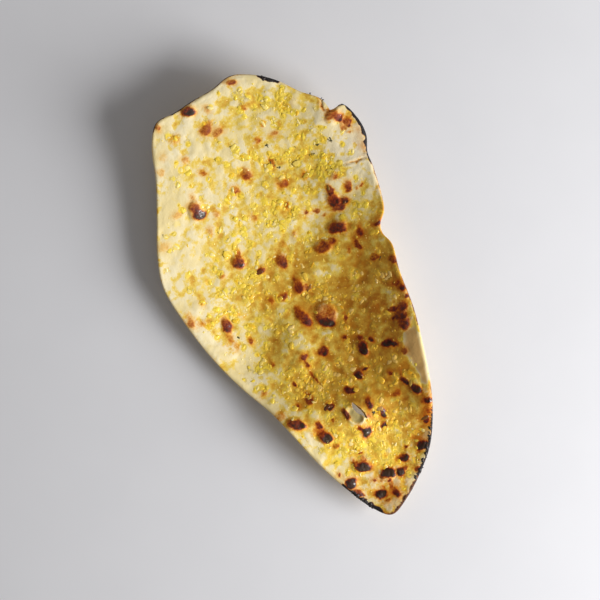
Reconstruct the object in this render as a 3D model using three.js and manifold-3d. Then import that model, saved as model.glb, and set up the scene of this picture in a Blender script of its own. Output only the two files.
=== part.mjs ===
/*
 * Garlic naan: a large teardrop flatbread from a tandoor, one solid piece.
 *
 * Units are millimetres, +Z is up. The origin is the middle of the bread's own box, on the surface that it
 * lies on. +Y runs along the bread to its broad end, the tip points to -Y, and +X is its right edge from above.
 *
 * The sheet is a grid of points stretched between four runs of its outline. One height function bends it: the
 * belly sags, the margins rise round it, and the tip droops again past a crest. Scorched bubbles, the largest
 * pieces of chopped garlic and the lumps of char on the rim are joined on, and one burst bubble is cut through.
 */
import * as THREE from 'three';
import { mergeVertices } from 'three/addons/utils/BufferGeometryUtils.js';
import Module from 'manifold-3d';

// ---------------------------------------------------------------- driving dimensions

// Outline, clockwise from above, as four runs. Each run starts at one corner of the sheet.
const LEFT_EDGE = [
  [13, -172], [-2, -152], [-15, -131], [-40, -80], [-57, -54], [-72, -26],
  [-84, 5], [-93, 40], [-90, 65], [-82, 92], [-74, 120], [-68.5, 148],
];
const BROAD_END = [
  [-60, 163], [-44, 166.5], [-29, 171], [-12, 175], [5, 181], [22, 177],
  [38, 168], [53, 154.5], [67, 143.5], [66, 136], [73, 133.5],
];
const RIGHT_EDGE = [
  [82, 135], [90.5, 121], [93, 107], [90, 94], [91, 82], [89.5, 48], [83.5, 38], [83, 31], [87.5, 21],
  [87, 0], [89, -32], [87.5, -60], [84.5, -90], [79, -115], [70, -138], [56, -157],
];
const TIP = [[42, -171], [26, -181]];

const LENGTH = 362;
const WIDTH = 186;
const THICKNESS = 4.2;        // the bread away from its edge
const RIM_THICKNESS = 1.8;    // the baked rim
const RIM_ROUNDING = 3.2;     // distance from the rim to the full thickness

const BELLY = { x: 0, y: 8 };                                   // lowest place of the sag
const REACH = { left: 117, right: 98, tip: 108, broad: 122 };   // from the belly to where the sag ends
const SAG = 20;               // height that the margins gain over the belly
const BELLY_SHARE = 0.18;     // share of the reach that stays flat
const REST_LEVEL = -1.2;      // underside of the flat spot, before the bread is set down on it

// Slow swells and dips of the sheet: x, y, radius, height.
const SWELLS = [
  [-4, -30, 15, 3], [33, 53, 18, -3], [46, -78, 15, -1.3], [96, -104, 26, 11.5], [82, -146, 22, 6],
  [66, 130, 15, 2.2], [94, 136, 13, -2.5], [-62, -80, 26, 2.2], [-66, -40, 16, 1.4], [-88, 0, 26, 3],
  [-34, -132, 22, 4], [30, 22, 15, 1.8], [56, 80, 14, 2], [20, -158, 12, -1], [-46, -38, 17, -2.6],
  [25, 66, 12, 1], [-32, -92, 15, 3], [24, -99, 14, 1.7], [38, -97, 15, 1.5], [98, 0, 26, 6.5],
  [98, -62, 28, 7.4], [92, 104, 20, -2], [46, -186, 22, 5], [74, -106, 12, 3.6], [-8, -46, 15, 1.6],
  [-34, -8, 15, -1.8], [64, -30, 24, 1.4], [100, 38, 20, 3.4], [-12, -88, 13, 1.6],
  [34, -109, 14, -1.6], [48, -128, 24, -2.6], [14, 88, 14, 1],
];

// Scorched bubbles that stand up from the sheet: x, y, half length, half width, turn in degrees, height.
const BUBBLES = [
  [22, -17, 10, 8.5, 70, 2.6], [54, 66, 7, 5, 100, 1.8], [-51, 90, 8, 5.5, 70, 1.8], [50, 46, 8, 5, 0, 1.6],
  [36, 34, 7.5, 5.5, 10, 1.6], [-31, 42, 6, 5, 90, 1.6], [8.5, 10, 7, 5, 90, 1.5], [4, -13, 9, 4.5, 115, 1.5],
  [-54.5, -4, 7, 4, 85, 1.4], [42, -51, 6.5, 4, 95, 1.6], [77, -39, 6.5, 5, 90, 1.6], [72, -91, 6, 4.5, 90, 1.5],
  [-25, -92, 8.5, 5, -25, 1.7], [-6, -109, 6.5, 4.5, -30, 1.6], [14, -138, 6.5, 4.5, -10, 1.6],
  [32, -150, 6, 5, 0, 1.5], [-33.5, 164, 5.5, 5, 0, 1.5], [72, 128, 7, 5, 35, 1.6],
];

// The burst bubble, torn through: middle, half length, half width, turn in degrees.
const TEAR = { x: 25, y: -95.8, length: 7.5, width: 1.9, turn: -60 };
// What is left of its lower skin lies beside the opening, sunk into the sheet.
const SUNK_SKIN = { x: 21, y: -98.4, length: 7.2, width: 5.2, turn: -60, depth: 1.5 };

// Where the chopped garlic lies thick: x, y, radius, share.
const GARLIC_PATCHES = [
  [40, 148, 15, 0.9], [10, 165, 14, 0.35], [28, 110, 14, 0.7], [50, 92, 13, 0.6], [0, 75, 15, 0.6],
  [-25, 72, 10, 0.4], [-45, 55, 13, 0.5], [72, 50, 11, 0.5], [17, 35, 13, 0.8], [-30, 15, 17, 0.9],
  [-22, -12, 13, 0.8], [30, 3, 15, 0.8], [-58, 12, 11, 0.5], [-52, 116, 9, 0.4], [-40, -33, 11, 0.5],
  [-38, -64, 15, 0.8], [-10, -55, 12, 0.7], [27, -48, 10, 0.6], [0, -76, 13, 0.7], [45, -120, 18, 1],
  [12, -108, 14, 0.8], [22, -82, 14, 0.5], [60, -70, 12, 0.5], [60, -20, 20, 0.3], [10, 100, 30, 0.15],
];
const GARLIC_PITCH = 7.4;     // spacing of the places where one of the larger pieces may lie
const GARLIC_KEPT = 0.46;     // share of those places that holds one where the garlic lies thickest
const GARLIC_LENGTH = { shortest: 4.2, longest: 8 };

// Single large slices of garlic: x, y, half length, half width, turn in degrees.
const GARLIC_SLICES = [
  [47, -77, 4.8, 2.4, -62], [63, -64, 2.9, 1.9, 8], [49.5, -70.5, 2.9, 1.4, 62], [42.5, -21, 3, 1.7, 32],
  [26, -5, 3, 1.8, -12], [51.5, -106, 2.9, 2.2, 20], [46, 121, 3.4, 1.8, 70], [-48, 119, 3.6, 2.2, 15],
];

// Stretches of burnt rim as shares of the way round the outline, with the number of lumps of char on each.
const BURNT_RIM = [
  { from: 0.001, to: 0.02, lumps: 4 },
  { from: 0.426, to: 0.438, lumps: 2 },
  { from: 0.886, to: 0.935, lumps: 7 },
];
const LUMP_SIZE = 2;

const CELLS_ACROSS = 28;
const CELLS_ALONG = 52;

const CRUST_COLOUR = 0xe3cf9a;

// ---------------------------------------------------------------- small helpers

const radians = (degrees) => (degrees * Math.PI) / 180;

/** Smooth step from 0 at a to 1 at b. */
function ease(a, b, value) {
  const t = Math.min(1, Math.max(0, (value - a) / (b - a)));
  return t * t * (3 - 2 * t);
}

/** Zero below 0, rising in proportion above, rounded over a given width. */
function ramp(value, width) {
  return value > 40 * width ? value : width * Math.log1p(Math.exp(value / width));
}

/** A number from 0 to 1 that looks random but is always the same for item n and purpose k: an integer hash. */
function draw(n, k) {
  let h = (Math.imul(n + 1, 0x9e3779b1) + Math.imul(k + 1, 0x85ebca77)) >>> 0;
  h = Math.imul(h ^ (h >>> 15), 0x2c1b3c6d) >>> 0;
  h = Math.imul(h ^ (h >>> 12), 0x297a2d39) >>> 0;
  return ((h ^ (h >>> 15)) >>> 0) / 2 ** 32;
}

// ---------------------------------------------------------------- outline

const CORNER_RUNS = [LEFT_EDGE, BROAD_END, RIGHT_EDGE, TIP];
const STEPS_PER_POINT = 24;

/** The closed centripetal Catmull-Rom curve through the outline's points, as a dense ring. */
function outlineRing() {
  const points = CORNER_RUNS.flat().map(([x, y]) => new THREE.Vector3(x, y, 0));
  const curve = new THREE.CatmullRomCurve3(points, true, 'centripetal');
  const count = points.length * STEPS_PER_POINT;
  return Array.from({ length: count }, (_, i) => curve.getPoint(i / count));
}

const RING = outlineRing();

/** Points at the given shares of arc length along the ring, from corner `first` to corner `last`. */
function alongSide(first, last, shares) {
  const starts = CORNER_RUNS.map((_, k) => CORNER_RUNS.slice(0, k).flat().length * STEPS_PER_POINT);
  const from = starts[first];
  const to = last > first ? starts[last] : RING.length;
  const run = [];
  for (let i = from; i <= to; i += 1) {
    run.push(RING[i % RING.length]);
  }
  const length = [0];
  for (let i = 1; i < run.length; i += 1) {
    length.push(length[i - 1] + run[i].distanceTo(run[i - 1]));
  }
  return shares.map((share) => {
    const wanted = share * length[length.length - 1];
    let i = length.findIndex((value) => value >= wanted);
    i = Math.max(1, i);
    const t = (wanted - length[i - 1]) / (length[i] - length[i - 1]);
    return run[i - 1].clone().lerp(run[i], t);
  });
}

/** Shares from 0 to 1 in the given number of cells, closer together near both ends. */
function shares(cells) {
  const crowding = 3;
  const width = 0.03;
  const steps = 4000;
  const total = [0];
  for (let i = 1; i <= steps; i += 1) {
    const t = (i - 0.5) / steps;
    total.push(total[i - 1] + 1 + crowding * (Math.exp(-t / width) + Math.exp(-(1 - t) / width)));
  }
  return Array.from({ length: cells + 1 }, (_, k) => {
    const wanted = (k / cells) * total[steps];
    return Math.min(1, total.findIndex((value) => value >= wanted - 1e-9) / steps);
  });
}

/** Distance from a place to the outline. */
function rimDistance(x, y) {
  let nearest = Infinity;
  for (let i = 0; i < RING.length; i += 1) {
    const a = RING[i];
    const b = RING[(i + 1) % RING.length];
    const dx = b.x - a.x;
    const dy = b.y - a.y;
    const t = Math.min(1, Math.max(0, ((x - a.x) * dx + (y - a.y) * dy) / (dx * dx + dy * dy)));
    nearest = Math.min(nearest, Math.hypot(x - a.x - t * dx, y - a.y - t * dy));
  }
  return nearest;
}

/** Whether a place lies inside the outline, by counting the edges that a ray to +X crosses. */
function isInside(x, y) {
  let inside = false;
  for (let i = 0; i < RING.length; i += 1) {
    const a = RING[i];
    const b = RING[(i + 1) % RING.length];
    if ((a.y > y) !== (b.y > y) && x < a.x + ((y - a.y) / (b.y - a.y)) * (b.x - a.x)) {
      inside = !inside;
    }
  }
  return inside;
}

// ---------------------------------------------------------------- height of the sheet

/** Height of the sheet's middle layer: the sag, the crest before the tip and the swells. */
function middle(x, y) {
  const dx = x - BELLY.x;
  const dy = y - BELLY.y;
  const side = ease(-20, 20, dx);
  const end = ease(-20, 20, dy);
  const reachX = REACH.left * (1 - side) + REACH.right * side;
  const reachY = REACH.tip * (1 - end) + REACH.broad * end;
  const out = Math.hypot(dx / reachX, dy / reachY);
  const towardBroad = dy / reachY / Math.max(out, 1e-6);
  const slack = 1.05 + 1.65 * ease(0.1, 0.75, -towardBroad) - 0.5 * ease(0.1, 0.8, towardBroad);
  const rise = (ramp(out - BELLY_SHARE, 0.07) / 0.78) ** 1.5;
  let z = SAG * (rise - slack * ramp(out - 1, 0.045));
  for (const [sx, sy, radius, height] of SWELLS) {
    z += height * Math.exp(-((x - sx) ** 2 + (y - sy) ** 2) / radius ** 2);
  }
  return z - REST_LEVEL;
}

/** Half of the bread's thickness at a distance from the rim: a quarter ellipse that ends in the rim's own edge. */
function halfThickness(distance) {
  const t = Math.min(1, distance / RIM_ROUNDING);
  const round = Math.sqrt(1 - (1 - t) ** 2);
  return (RIM_THICKNESS + (THICKNESS - RIM_THICKNESS) * round) / 2;
}

const topHeight = (x, y) => middle(x, y) + halfThickness(rimDistance(x, y));

// ---------------------------------------------------------------- the sheet

/** The grid between the four sides: each point is blended from the sides, less the part counted twice. */
function sheetGrid() {
  const across = shares(CELLS_ACROSS);
  const along = shares(CELLS_ALONG);
  const reversed = (list) => list.map((t) => 1 - t);
  const left = alongSide(0, 1, along);
  const broad = alongSide(1, 2, across);
  const right = alongSide(2, 3, reversed(along));
  const tip = alongSide(3, 0, reversed(across));
  const [a, b, c, d] = [tip[0], tip[CELLS_ACROSS], broad[0], broad[CELLS_ACROSS]];
  return along.map((v, j) => across.map((u, i) => ['x', 'y'].map((axis) => (
    (1 - v) * tip[i][axis] + v * broad[i][axis] + (1 - u) * left[j][axis] + u * right[j][axis]
    - (1 - u) * (1 - v) * a[axis] - u * (1 - v) * b[axis] - (1 - u) * v * c[axis] - u * v * d[axis]
  ))));
}

/** A closed sheet: upper grid, lower grid that is flat where it rests, and a wall round the rim. */
function sheetGeometry() {
  const grid = sheetGrid();
  const rows = grid.length;
  const columns = grid[0].length;
  const places = grid.flat();
  const upper = places.map(([x, y]) => [x, y, topHeight(x, y)]);
  const lower = places.map(([x, y]) => [x, y, Math.max(0, middle(x, y) - halfThickness(rimDistance(x, y)))]);
  const index = [];
  const quad = (p, q, r, s) => index.push(p, q, r, p, r, s);
  for (let j = 0; j + 1 < rows; j += 1) {
    for (let i = 0; i + 1 < columns; i += 1) {
      const p = j * columns + i;
      quad(p, p + 1, p + columns + 1, p + columns);
      quad(p + upper.length, p + upper.length + columns, p + upper.length + columns + 1, p + upper.length + 1);
    }
  }
  const rim = [];
  for (let i = 0; i + 1 < columns; i += 1) rim.push(i);
  for (let j = 0; j + 1 < rows; j += 1) rim.push(j * columns + columns - 1);
  for (let i = columns - 1; i > 0; i -= 1) rim.push((rows - 1) * columns + i);
  for (let j = rows - 1; j > 0; j -= 1) rim.push(j * columns);
  rim.forEach((p, k) => {
    const q = rim[(k + 1) % rim.length];
    quad(p + upper.length, q + upper.length, q, p);
  });
  return closedGeometry([...upper, ...lower].flat(), index);
}

function closedGeometry(positions, index) {
  const geometry = new THREE.BufferGeometry();
  geometry.setAttribute('position', new THREE.BufferAttribute(new Float32Array(positions), 3));
  geometry.setIndex(index);
  return geometry;
}

// ---------------------------------------------------------------- what is joined on and cut away

/** Moves a unit shape to its size, turned about the vertical, with its middle at a height above the sheet. */
function placed(geometry, x, y, halfLength, halfWidth, halfHeight, turn, lift) {
  geometry.scale(halfLength, halfWidth, halfHeight);
  geometry.rotateZ(turn);
  geometry.translate(x, y, topHeight(x, y) + lift);
  return geometry;
}

/** A bubble: a low round shape, sunk so that its cap stands up by the given height. */
function bubble([x, y, halfLength, halfWidth, turn, height]) {
  const sunk = 0.5;
  const ball = new THREE.SphereGeometry(1, 9, 6);
  ball.rotateX(Math.PI / 2);
  return placed(ball, x, y, 1.1 * halfLength, 1.1 * halfWidth, height + sunk, radians(turn), -sunk);
}

/** A chopped chunk: a block, narrower above, with its corners pushed in by different amounts. */
function chunk(seed) {
  const shape = mergeVertices(bare(new THREE.BoxGeometry(2, 2, 2)), 1e-4);
  const corners = shape.getAttribute('position');
  for (let i = 0; i < corners.count; i += 1) {
    const scale = (corners.getZ(i) > 0 ? 0.62 : 0.8) + 0.3 * draw(seed, 10 + i);
    corners.setXYZ(i, corners.getX(i) * scale, corners.getY(i) * scale, corners.getZ(i));
  }
  return shape;
}

/** How thickly the garlic lies at a place, from 0 to 1. */
function garlicShare(x, y) {
  let bare = 1;
  for (const [px, py, radius, share] of GARLIC_PATCHES) {
    bare *= 1 - share * Math.exp(-((x - px) ** 2 + (y - py) ** 2) / radius ** 2);
  }
  return 1 - bare;
}

/** The larger garlic pieces: one to a place of an uneven grid, kept as often as the patches say. */
function garlicPieces() {
  const pieces = [];
  for (let row = 0; row * GARLIC_PITCH < LENGTH; row += 1) {
    for (let column = 0; column * GARLIC_PITCH < WIDTH; column += 1) {
      const n = 100 * row + column;
      const x = (column + 0.1 + 0.8 * draw(n, 0)) * GARLIC_PITCH - WIDTH / 2;
      const y = (row + 0.1 + 0.8 * draw(n, 1)) * GARLIC_PITCH - LENGTH / 2;
      const clearOfTear = Math.hypot(x - TEAR.x, y - TEAR.y) > TEAR.length + 5;
      const clearOfLargest = Math.hypot(x - BUBBLES[0][0], y - BUBBLES[0][1]) > 14;
      const kept = draw(n, 2) < GARLIC_KEPT * garlicShare(x, y);
      if (kept && clearOfTear && clearOfLargest && isInside(x, y) && rimDistance(x, y) > 6) {
        pieces.push({ n, x, y });
      }
    }
  }
  return pieces;
}

function garlicChunk({ n, x, y }) {
  const { shortest, longest } = GARLIC_LENGTH;
  const length = shortest + (longest - shortest) * draw(n, 3) ** 2;
  const width = length * (0.45 + 0.3 * draw(n, 4));
  const height = 0.3 + 0.14 * draw(n, 5);
  return placed(chunk(n), x, y, length / 2, width / 2, height, 2 * Math.PI * draw(n, 6), 0.1);
}

function garlicSlice([x, y, halfLength, halfWidth, turn], k) {
  return placed(chunk(7000 + k), x, y, halfLength, halfWidth, 0.4, radians(turn), 0.1);
}

/** Lumps of char on the rim, a little inside the outline and standing above it. */
function rimLumps() {
  const found = [];
  for (const { from, to, lumps } of BURNT_RIM) {
    for (let k = 0; k < lumps; k += 1) {
      const n = 9000 + Math.round(1000 * from) + k;
      const share = from + ((to - from) * (k + 0.9 * draw(n, 0))) / lumps;
      const here = RING[Math.floor(share * RING.length)];
      const next = RING[Math.floor(share * RING.length) + 1];
      const turn = Math.atan2(next.y - here.y, next.x - here.x);
      const inward = LUMP_SIZE * (0.7 + 0.6 * draw(n, 1));
      const x = here.x + inward * Math.sin(turn);
      const y = here.y - inward * Math.cos(turn);
      const size = LUMP_SIZE * (0.6 + 0.5 * draw(n, 2));
      const height = 0.5 + 0.5 * draw(n, 3);
      found.push(placed(chunk(n), x, y, 1.2 * size, 0.8 * size, height, turn + draw(n, 4), 0.1));
    }
  }
  return found;
}

/** A shallow pocket in the sheet's top beside the opening. */
function skinPocket() {
  const { x, y, length, width, turn, depth } = SUNK_SKIN;
  const above = 0.5;
  const ball = new THREE.SphereGeometry(1, 14, 8);
  ball.rotateX(Math.PI / 2);
  return placed(ball, x, y, length, width, depth + above, radians(turn), above);
}

/** An uneven upright plug through the sheet at the torn bubble. */
function tearPlug() {
  const corners = 11;
  const shape = new THREE.Shape();
  for (let k = 0; k < corners; k += 1) {
    const angle = (2 * Math.PI * k) / corners;
    const ragged = 1 + 0.16 * Math.sin(3 * angle + 0.7) + 0.08 * Math.sin(5 * angle + 2);
    const x = TEAR.length * ragged * Math.cos(angle);
    const y = TEAR.width * ragged * Math.sin(angle);
    if (k === 0) shape.moveTo(x, y);
    else shape.lineTo(x, y);
  }
  shape.closePath();
  const plug = new THREE.ExtrudeGeometry(shape, { depth: 60, bevelEnabled: false, curveSegments: 1 });
  plug.rotateZ(radians(TEAR.turn));
  plug.translate(TEAR.x, TEAR.y, -10);
  return plug;
}

// ---------------------------------------------------------------- joining

/** A geometry with nothing but its positions. */
function bare(geometry) {
  geometry.deleteAttribute('normal');
  geometry.deleteAttribute('uv');
  return geometry;
}

const wasm = await Module();
wasm.setup();

function toSolid(geometry) {
  const merged = mergeVertices(bare(geometry), 1e-4);
  return new wasm.Manifold(new wasm.Mesh({
    numProp: 3,
    vertProperties: new Float32Array(merged.getAttribute('position').array),
    triVerts: new Uint32Array(merged.index.array),
  }));
}

function toGeometry(solid) {
  const mesh = solid.getMesh();
  const geometry = closedGeometry(mesh.vertProperties, Array.from(mesh.triVerts));
  geometry.computeVertexNormals();
  return geometry;
}

function naanSolid() {
  const joined = [
    ...BUBBLES.map(bubble),
    ...garlicPieces().map(garlicChunk),
    ...GARLIC_SLICES.map(garlicSlice),
    ...rimLumps(),
  ];
  let bread = toSolid(sheetGeometry());
  for (const shape of joined) {
    bread = bread.add(toSolid(shape));
  }
  return bread.subtract(toSolid(skinPocket())).subtract(toSolid(tearPlug()));
}

// ---------------------------------------------------------------- the part

const crust = new THREE.MeshStandardMaterial({ color: CRUST_COLOUR, roughness: 0.6, metalness: 0 });
const naanBread = new THREE.Mesh(toGeometry(naanSolid()), crust);
naanBread.name = 'naan_bread';

const naan = new THREE.Group();
naan.add(naanBread);

export default naan;
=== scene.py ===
# %% [markdown]
# # Garlic naan
# A naan is one sheet of leavened dough, pulled into a teardrop and slapped onto the wall of a clay
# oven. It bakes in two minutes: the sheet stays thin, its gas bubbles scorch black, and its margins
# lift. Then it is brushed with butter and strewn with chopped garlic. Lengths in this script are
# millimetres, and MM turns them into the metres that Blender works in when a mesh is made.

import math

import bpy
import numpy as np
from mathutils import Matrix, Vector


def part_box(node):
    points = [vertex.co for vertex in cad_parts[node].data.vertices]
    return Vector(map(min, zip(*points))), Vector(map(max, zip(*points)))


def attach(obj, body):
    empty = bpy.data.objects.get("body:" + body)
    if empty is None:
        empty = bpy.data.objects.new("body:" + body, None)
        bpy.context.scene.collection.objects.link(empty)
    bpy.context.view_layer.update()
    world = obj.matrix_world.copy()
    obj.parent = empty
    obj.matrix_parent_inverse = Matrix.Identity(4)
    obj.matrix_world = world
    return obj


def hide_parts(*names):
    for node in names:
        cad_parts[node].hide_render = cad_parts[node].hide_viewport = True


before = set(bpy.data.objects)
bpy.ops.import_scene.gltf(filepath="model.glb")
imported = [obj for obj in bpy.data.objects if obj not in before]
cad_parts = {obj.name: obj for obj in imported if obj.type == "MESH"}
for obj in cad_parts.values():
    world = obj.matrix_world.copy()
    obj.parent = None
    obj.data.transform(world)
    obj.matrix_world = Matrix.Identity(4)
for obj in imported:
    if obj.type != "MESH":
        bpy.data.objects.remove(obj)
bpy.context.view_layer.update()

MM = 0.001
FULL_TURN = 2 * math.pi
NODE = "naan_bread"
low, high = (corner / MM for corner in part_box(NODE))
LENGTH = round(high.y - low.y)
WIDTH = round(high.x - low.x)
HEIGHT = high.z
print(f"the solid measures {WIDTH} x {LENGTH} x {HEIGHT:.1f} mm")

# %% [markdown]
# ## Numbers that only look random
# Everything scattered here comes from one rule that scrambles whole numbers, so every run gives the
# same bread. The same rule made the larger garlic pieces of the solid, which is why they can be laid in
# the same places again. The relief of the dough comes from it too: random heights at the crossings of a
# grid, joined by smooth curves.


# %% Draws and noise
# Each kind of scattered thing numbers its items from a start of its own
FIRST_LARGER, FIRST_SLICE, FIRST_LUMP, FIRST_FINE = 0, 7000, 9000, 50000
FIRST_FLECK, FIRST_CRUMB, FIRST_STRAY, FIRST_BIT = 80000, 90000, 97000, 120000


def draw(n, k):
    """A number from 0 to 1 for item n and purpose k: both are multiplied by large odd numbers, added,
    and folded twice onto themselves by shifts and further products, all modulo 2 to the power 32."""
    mask = np.uint64(0xFFFFFFFF)
    n = np.asarray(n).astype(np.uint64)
    k = np.asarray(k).astype(np.uint64)
    h = ((n + np.uint64(1)) * np.uint64(0x9E3779B1) + (k + np.uint64(1)) * np.uint64(0x85EBCA77)) & mask
    h = ((h ^ (h >> np.uint64(15))) * np.uint64(0x2C1B3C6D)) & mask
    h = ((h ^ (h >> np.uint64(12))) * np.uint64(0x297A2D39)) & mask
    return ((h ^ (h >> np.uint64(15))) & mask).astype(float) / 2.0**32


def noise(x, y, wavelength, seed):
    """Smooth noise from -1 to 1: random heights at grid crossings one wavelength apart, blended in x
    and y by the curve t*t*t*(t*(6t-15)+10), which is level at both ends. Every use has its own seed."""
    gx, gy = x / wavelength + 1000.37, y / wavelength + 1000.61
    ix, iy = np.floor(gx).astype(np.int64), np.floor(gy).astype(np.int64)
    tx, ty = gx - ix, gy - iy
    sx, sy = (t * t * t * (t * (6 * t - 15) + 10) for t in (tx, ty))
    corner = {(a, b): draw((iy + b) * 4096 + ix + a, seed) for a in (0, 1) for b in (0, 1)}
    lower = corner[0, 0] * (1 - sx) + corner[1, 0] * sx
    upper = corner[0, 1] * (1 - sx) + corner[1, 1] * sx
    return 2 * (lower * (1 - sy) + upper * sy) - 1


def ease(a, b, value):
    """Smooth step from 0 at a to 1 at b: t*t*(3 - 2t), with t the share of the way."""
    t = np.clip((value - a) / (b - a), 0, 1)
    return t * t * (3 - 2 * t)


def ramp(value, width):
    """Zero below 0 and rising in proportion above, rounded over a width: width * log(1 + exp(value /
    width))."""
    return width * np.logaddexp(0, value / width)


def ellipse_norm(x, y, cx, cy, half_length, half_width, turn):
    """How far out a place is from an ellipse's middle, 1 on the ellipse: the root of (u/a) squared +
    (v/b) squared, with u and v measured along its own axes."""
    c, s = math.cos(math.radians(turn)), math.sin(math.radians(turn))
    u, v = (x - cx) * c + (y - cy) * s, (y - cy) * c - (x - cx) * s
    return np.hypot(u / half_length, v / half_width)


# %% [markdown]
# ## The outline
# A hand-pulled sheet has no symmetry, so its outline is a smooth closed curve through points at its
# bends. It is given as four runs, because the sheet below is stretched between four sides. The curve is
# a centripetal Catmull-Rom spline, which doesn't loop where points lie close together.

# %% Outline
LEFT_EDGE = [
    (13, -172), (-2, -152), (-15, -131), (-40, -80), (-57, -54), (-72, -26),
    (-84, 5), (-93, 40), (-90, 65), (-82, 92), (-74, 120), (-68.5, 148),
]
BROAD_END = [
    (-60, 163), (-44, 166.5), (-29, 171), (-12, 175), (5, 181), (22, 177),
    (38, 168), (53, 154.5), (67, 143.5), (66, 136), (73, 133.5),
]
RIGHT_EDGE = [
    (82, 135), (90.5, 121), (93, 107), (90, 94), (91, 82), (89.5, 48), (83.5, 38), (83, 31), (87.5, 21),
    (87, 0), (89, -32), (87.5, -60), (84.5, -90), (79, -115), (70, -138), (56, -157),
]
TIP = [(42, -171), (26, -181)]
RUNS = [LEFT_EDGE, BROAD_END, RIGHT_EDGE, TIP]
STEPS_PER_POINT = 24


def outline_ring(points, steps):
    """The closed curve as a dense ring. Between two points it is a cubic whose slopes at both ends come
    from the neighbours, weighted by the square roots of the distances between the points."""
    p0, p1, p2, p3 = (np.roll(points, shift, 0) for shift in (1, 0, -1, -2))
    gaps = (p1 - p0, p2 - p1, p3 - p2)
    d0, d1, d2 = (np.sqrt(np.linalg.norm(gap, axis=1))[:, None] for gap in gaps)
    slope1 = ((p1 - p0) / d0 - (p2 - p0) / (d0 + d1) + (p2 - p1) / d1) * d1
    slope2 = ((p2 - p1) / d1 - (p3 - p1) / (d1 + d2) + (p3 - p2) / d2) * d1
    t = (np.arange(steps) / steps)[None, :, None]
    p1, p2, slope1, slope2 = (a[:, None] for a in (p1, p2, slope1, slope2))
    ring = (2 * t**3 - 3 * t**2 + 1) * p1 + (t**3 - 2 * t**2 + t) * slope1
    ring = ring + (3 * t**2 - 2 * t**3) * p2 + (t**3 - t**2) * slope2
    return ring.reshape(-1, 2)


RING = outline_ring(np.array([p for run in RUNS for p in run], float), STEPS_PER_POINT)
RUN_STARTS = np.cumsum([0] + [len(run) * STEPS_PER_POINT for run in RUNS])
print(f"outline of {len(RING)} steps, {RING[:, 0].min():.1f} to {RING[:, 0].max():.1f} mm across")


NEAR_RIM = 14               # how far inside the rim its distance is measured exactly
EVERY = 8                   # of the ring's points, every eighth is enough farther in
PLACES_AT_ONCE = 4000       # keeps the arrays small


def rim_distance(x, y):
    """Distance from each place to the outline: the least over the ring's segments, each with the
    place's nearest point on it. Far inside, the distance to the ring's own points is exact enough."""
    place = np.stack([np.ravel(x), np.ravel(y)], 1)
    to_ring = place[:, None] - RING[None, ::EVERY]
    far = np.hypot(to_ring[..., 0], to_ring[..., 1]).min(1)
    close = np.flatnonzero(far < NEAR_RIM)
    step = np.roll(RING, -1, 0) - RING
    square = (step**2).sum(1)
    for part in np.array_split(close, max(1, len(close) // PLACES_AT_ONCE)):
        away = place[part, None] - RING[None]
        t = np.clip((away * step).sum(2) / square, 0, 1)
        far[part] = np.sqrt(((away - t[..., None] * step) ** 2).sum(2).min(1))
    return far.reshape(np.shape(x))


def is_inside(x, y):
    """Whether a place lies inside the outline, which it does where a ray from it to +X crosses the ring
    an odd number of times."""
    a, b = RING, np.roll(RING, -1, 0)
    spans = (a[:, 1] > y[:, None]) != (b[:, 1] > y[:, None])
    rise = np.where(b[:, 1] == a[:, 1], 1e-9, b[:, 1] - a[:, 1])
    crossing = a[:, 0] + (y[:, None] - a[:, 1]) / rise * (b[:, 0] - a[:, 0])
    return (spans & (x[:, None] < crossing)).sum(1) % 2 == 1


# %% [markdown]
# ## How the sheet hangs
# The baked sheet is stiff but thin. Its belly sags onto what it lies on, the margins rise round it, and
# the tip droops again past a crest. That is the drape, worked out once as a height over every place, so
# that dough, garlic and crumbs all agree on where the surface is.

# %% Drape
THICKNESS = 4.2
RIM_ROUNDING = 3.2
RIM_BLUNTNESS = 2.6         # 2 is a quarter ellipse, more is blunter
BELLY_X, BELLY_Y = 0, 8
REACH_LEFT, REACH_RIGHT, REACH_TIP, REACH_BROAD = 117, 98, 108, 122
SAG = 20
BELLY_SHARE = 0.18
BOWL_POWER = 1.5
SIDE_BLEND = 20             # the reach changes over this far to either side of the belly's middle
REST_LEVEL = -1.2
SWELLS = [  # x, y, radius, height
    (-4, -30, 15, 3), (33, 53, 18, -3), (46, -78, 15, -1.3), (96, -104, 26, 11.5), (82, -146, 22, 6),
    (66, 130, 15, 2.2), (94, 136, 13, -2.5), (-62, -80, 26, 2.2), (-66, -40, 16, 1.4), (-88, 0, 26, 3),
    (-34, -132, 22, 4), (30, 22, 15, 1.8), (56, 80, 14, 2), (20, -158, 12, -1), (-46, -38, 17, -2.6),
    (25, 66, 12, 1), (-32, -92, 15, 3), (24, -99, 14, 1.7), (38, -97, 15, 1.5), (98, 0, 26, 6.5),
    (98, -62, 28, 7.4), (92, 104, 20, -2), (46, -186, 22, 5), (74, -106, 12, 3.6), (-8, -46, 15, 1.6),
    (-34, -8, 15, -1.8), (64, -30, 24, 1.4), (100, 38, 20, 3.4), (-12, -88, 13, 1.6),
    (34, -109, 14, -1.6), (48, -128, 24, -2.6), (14, 88, 14, 1),
]


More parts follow.
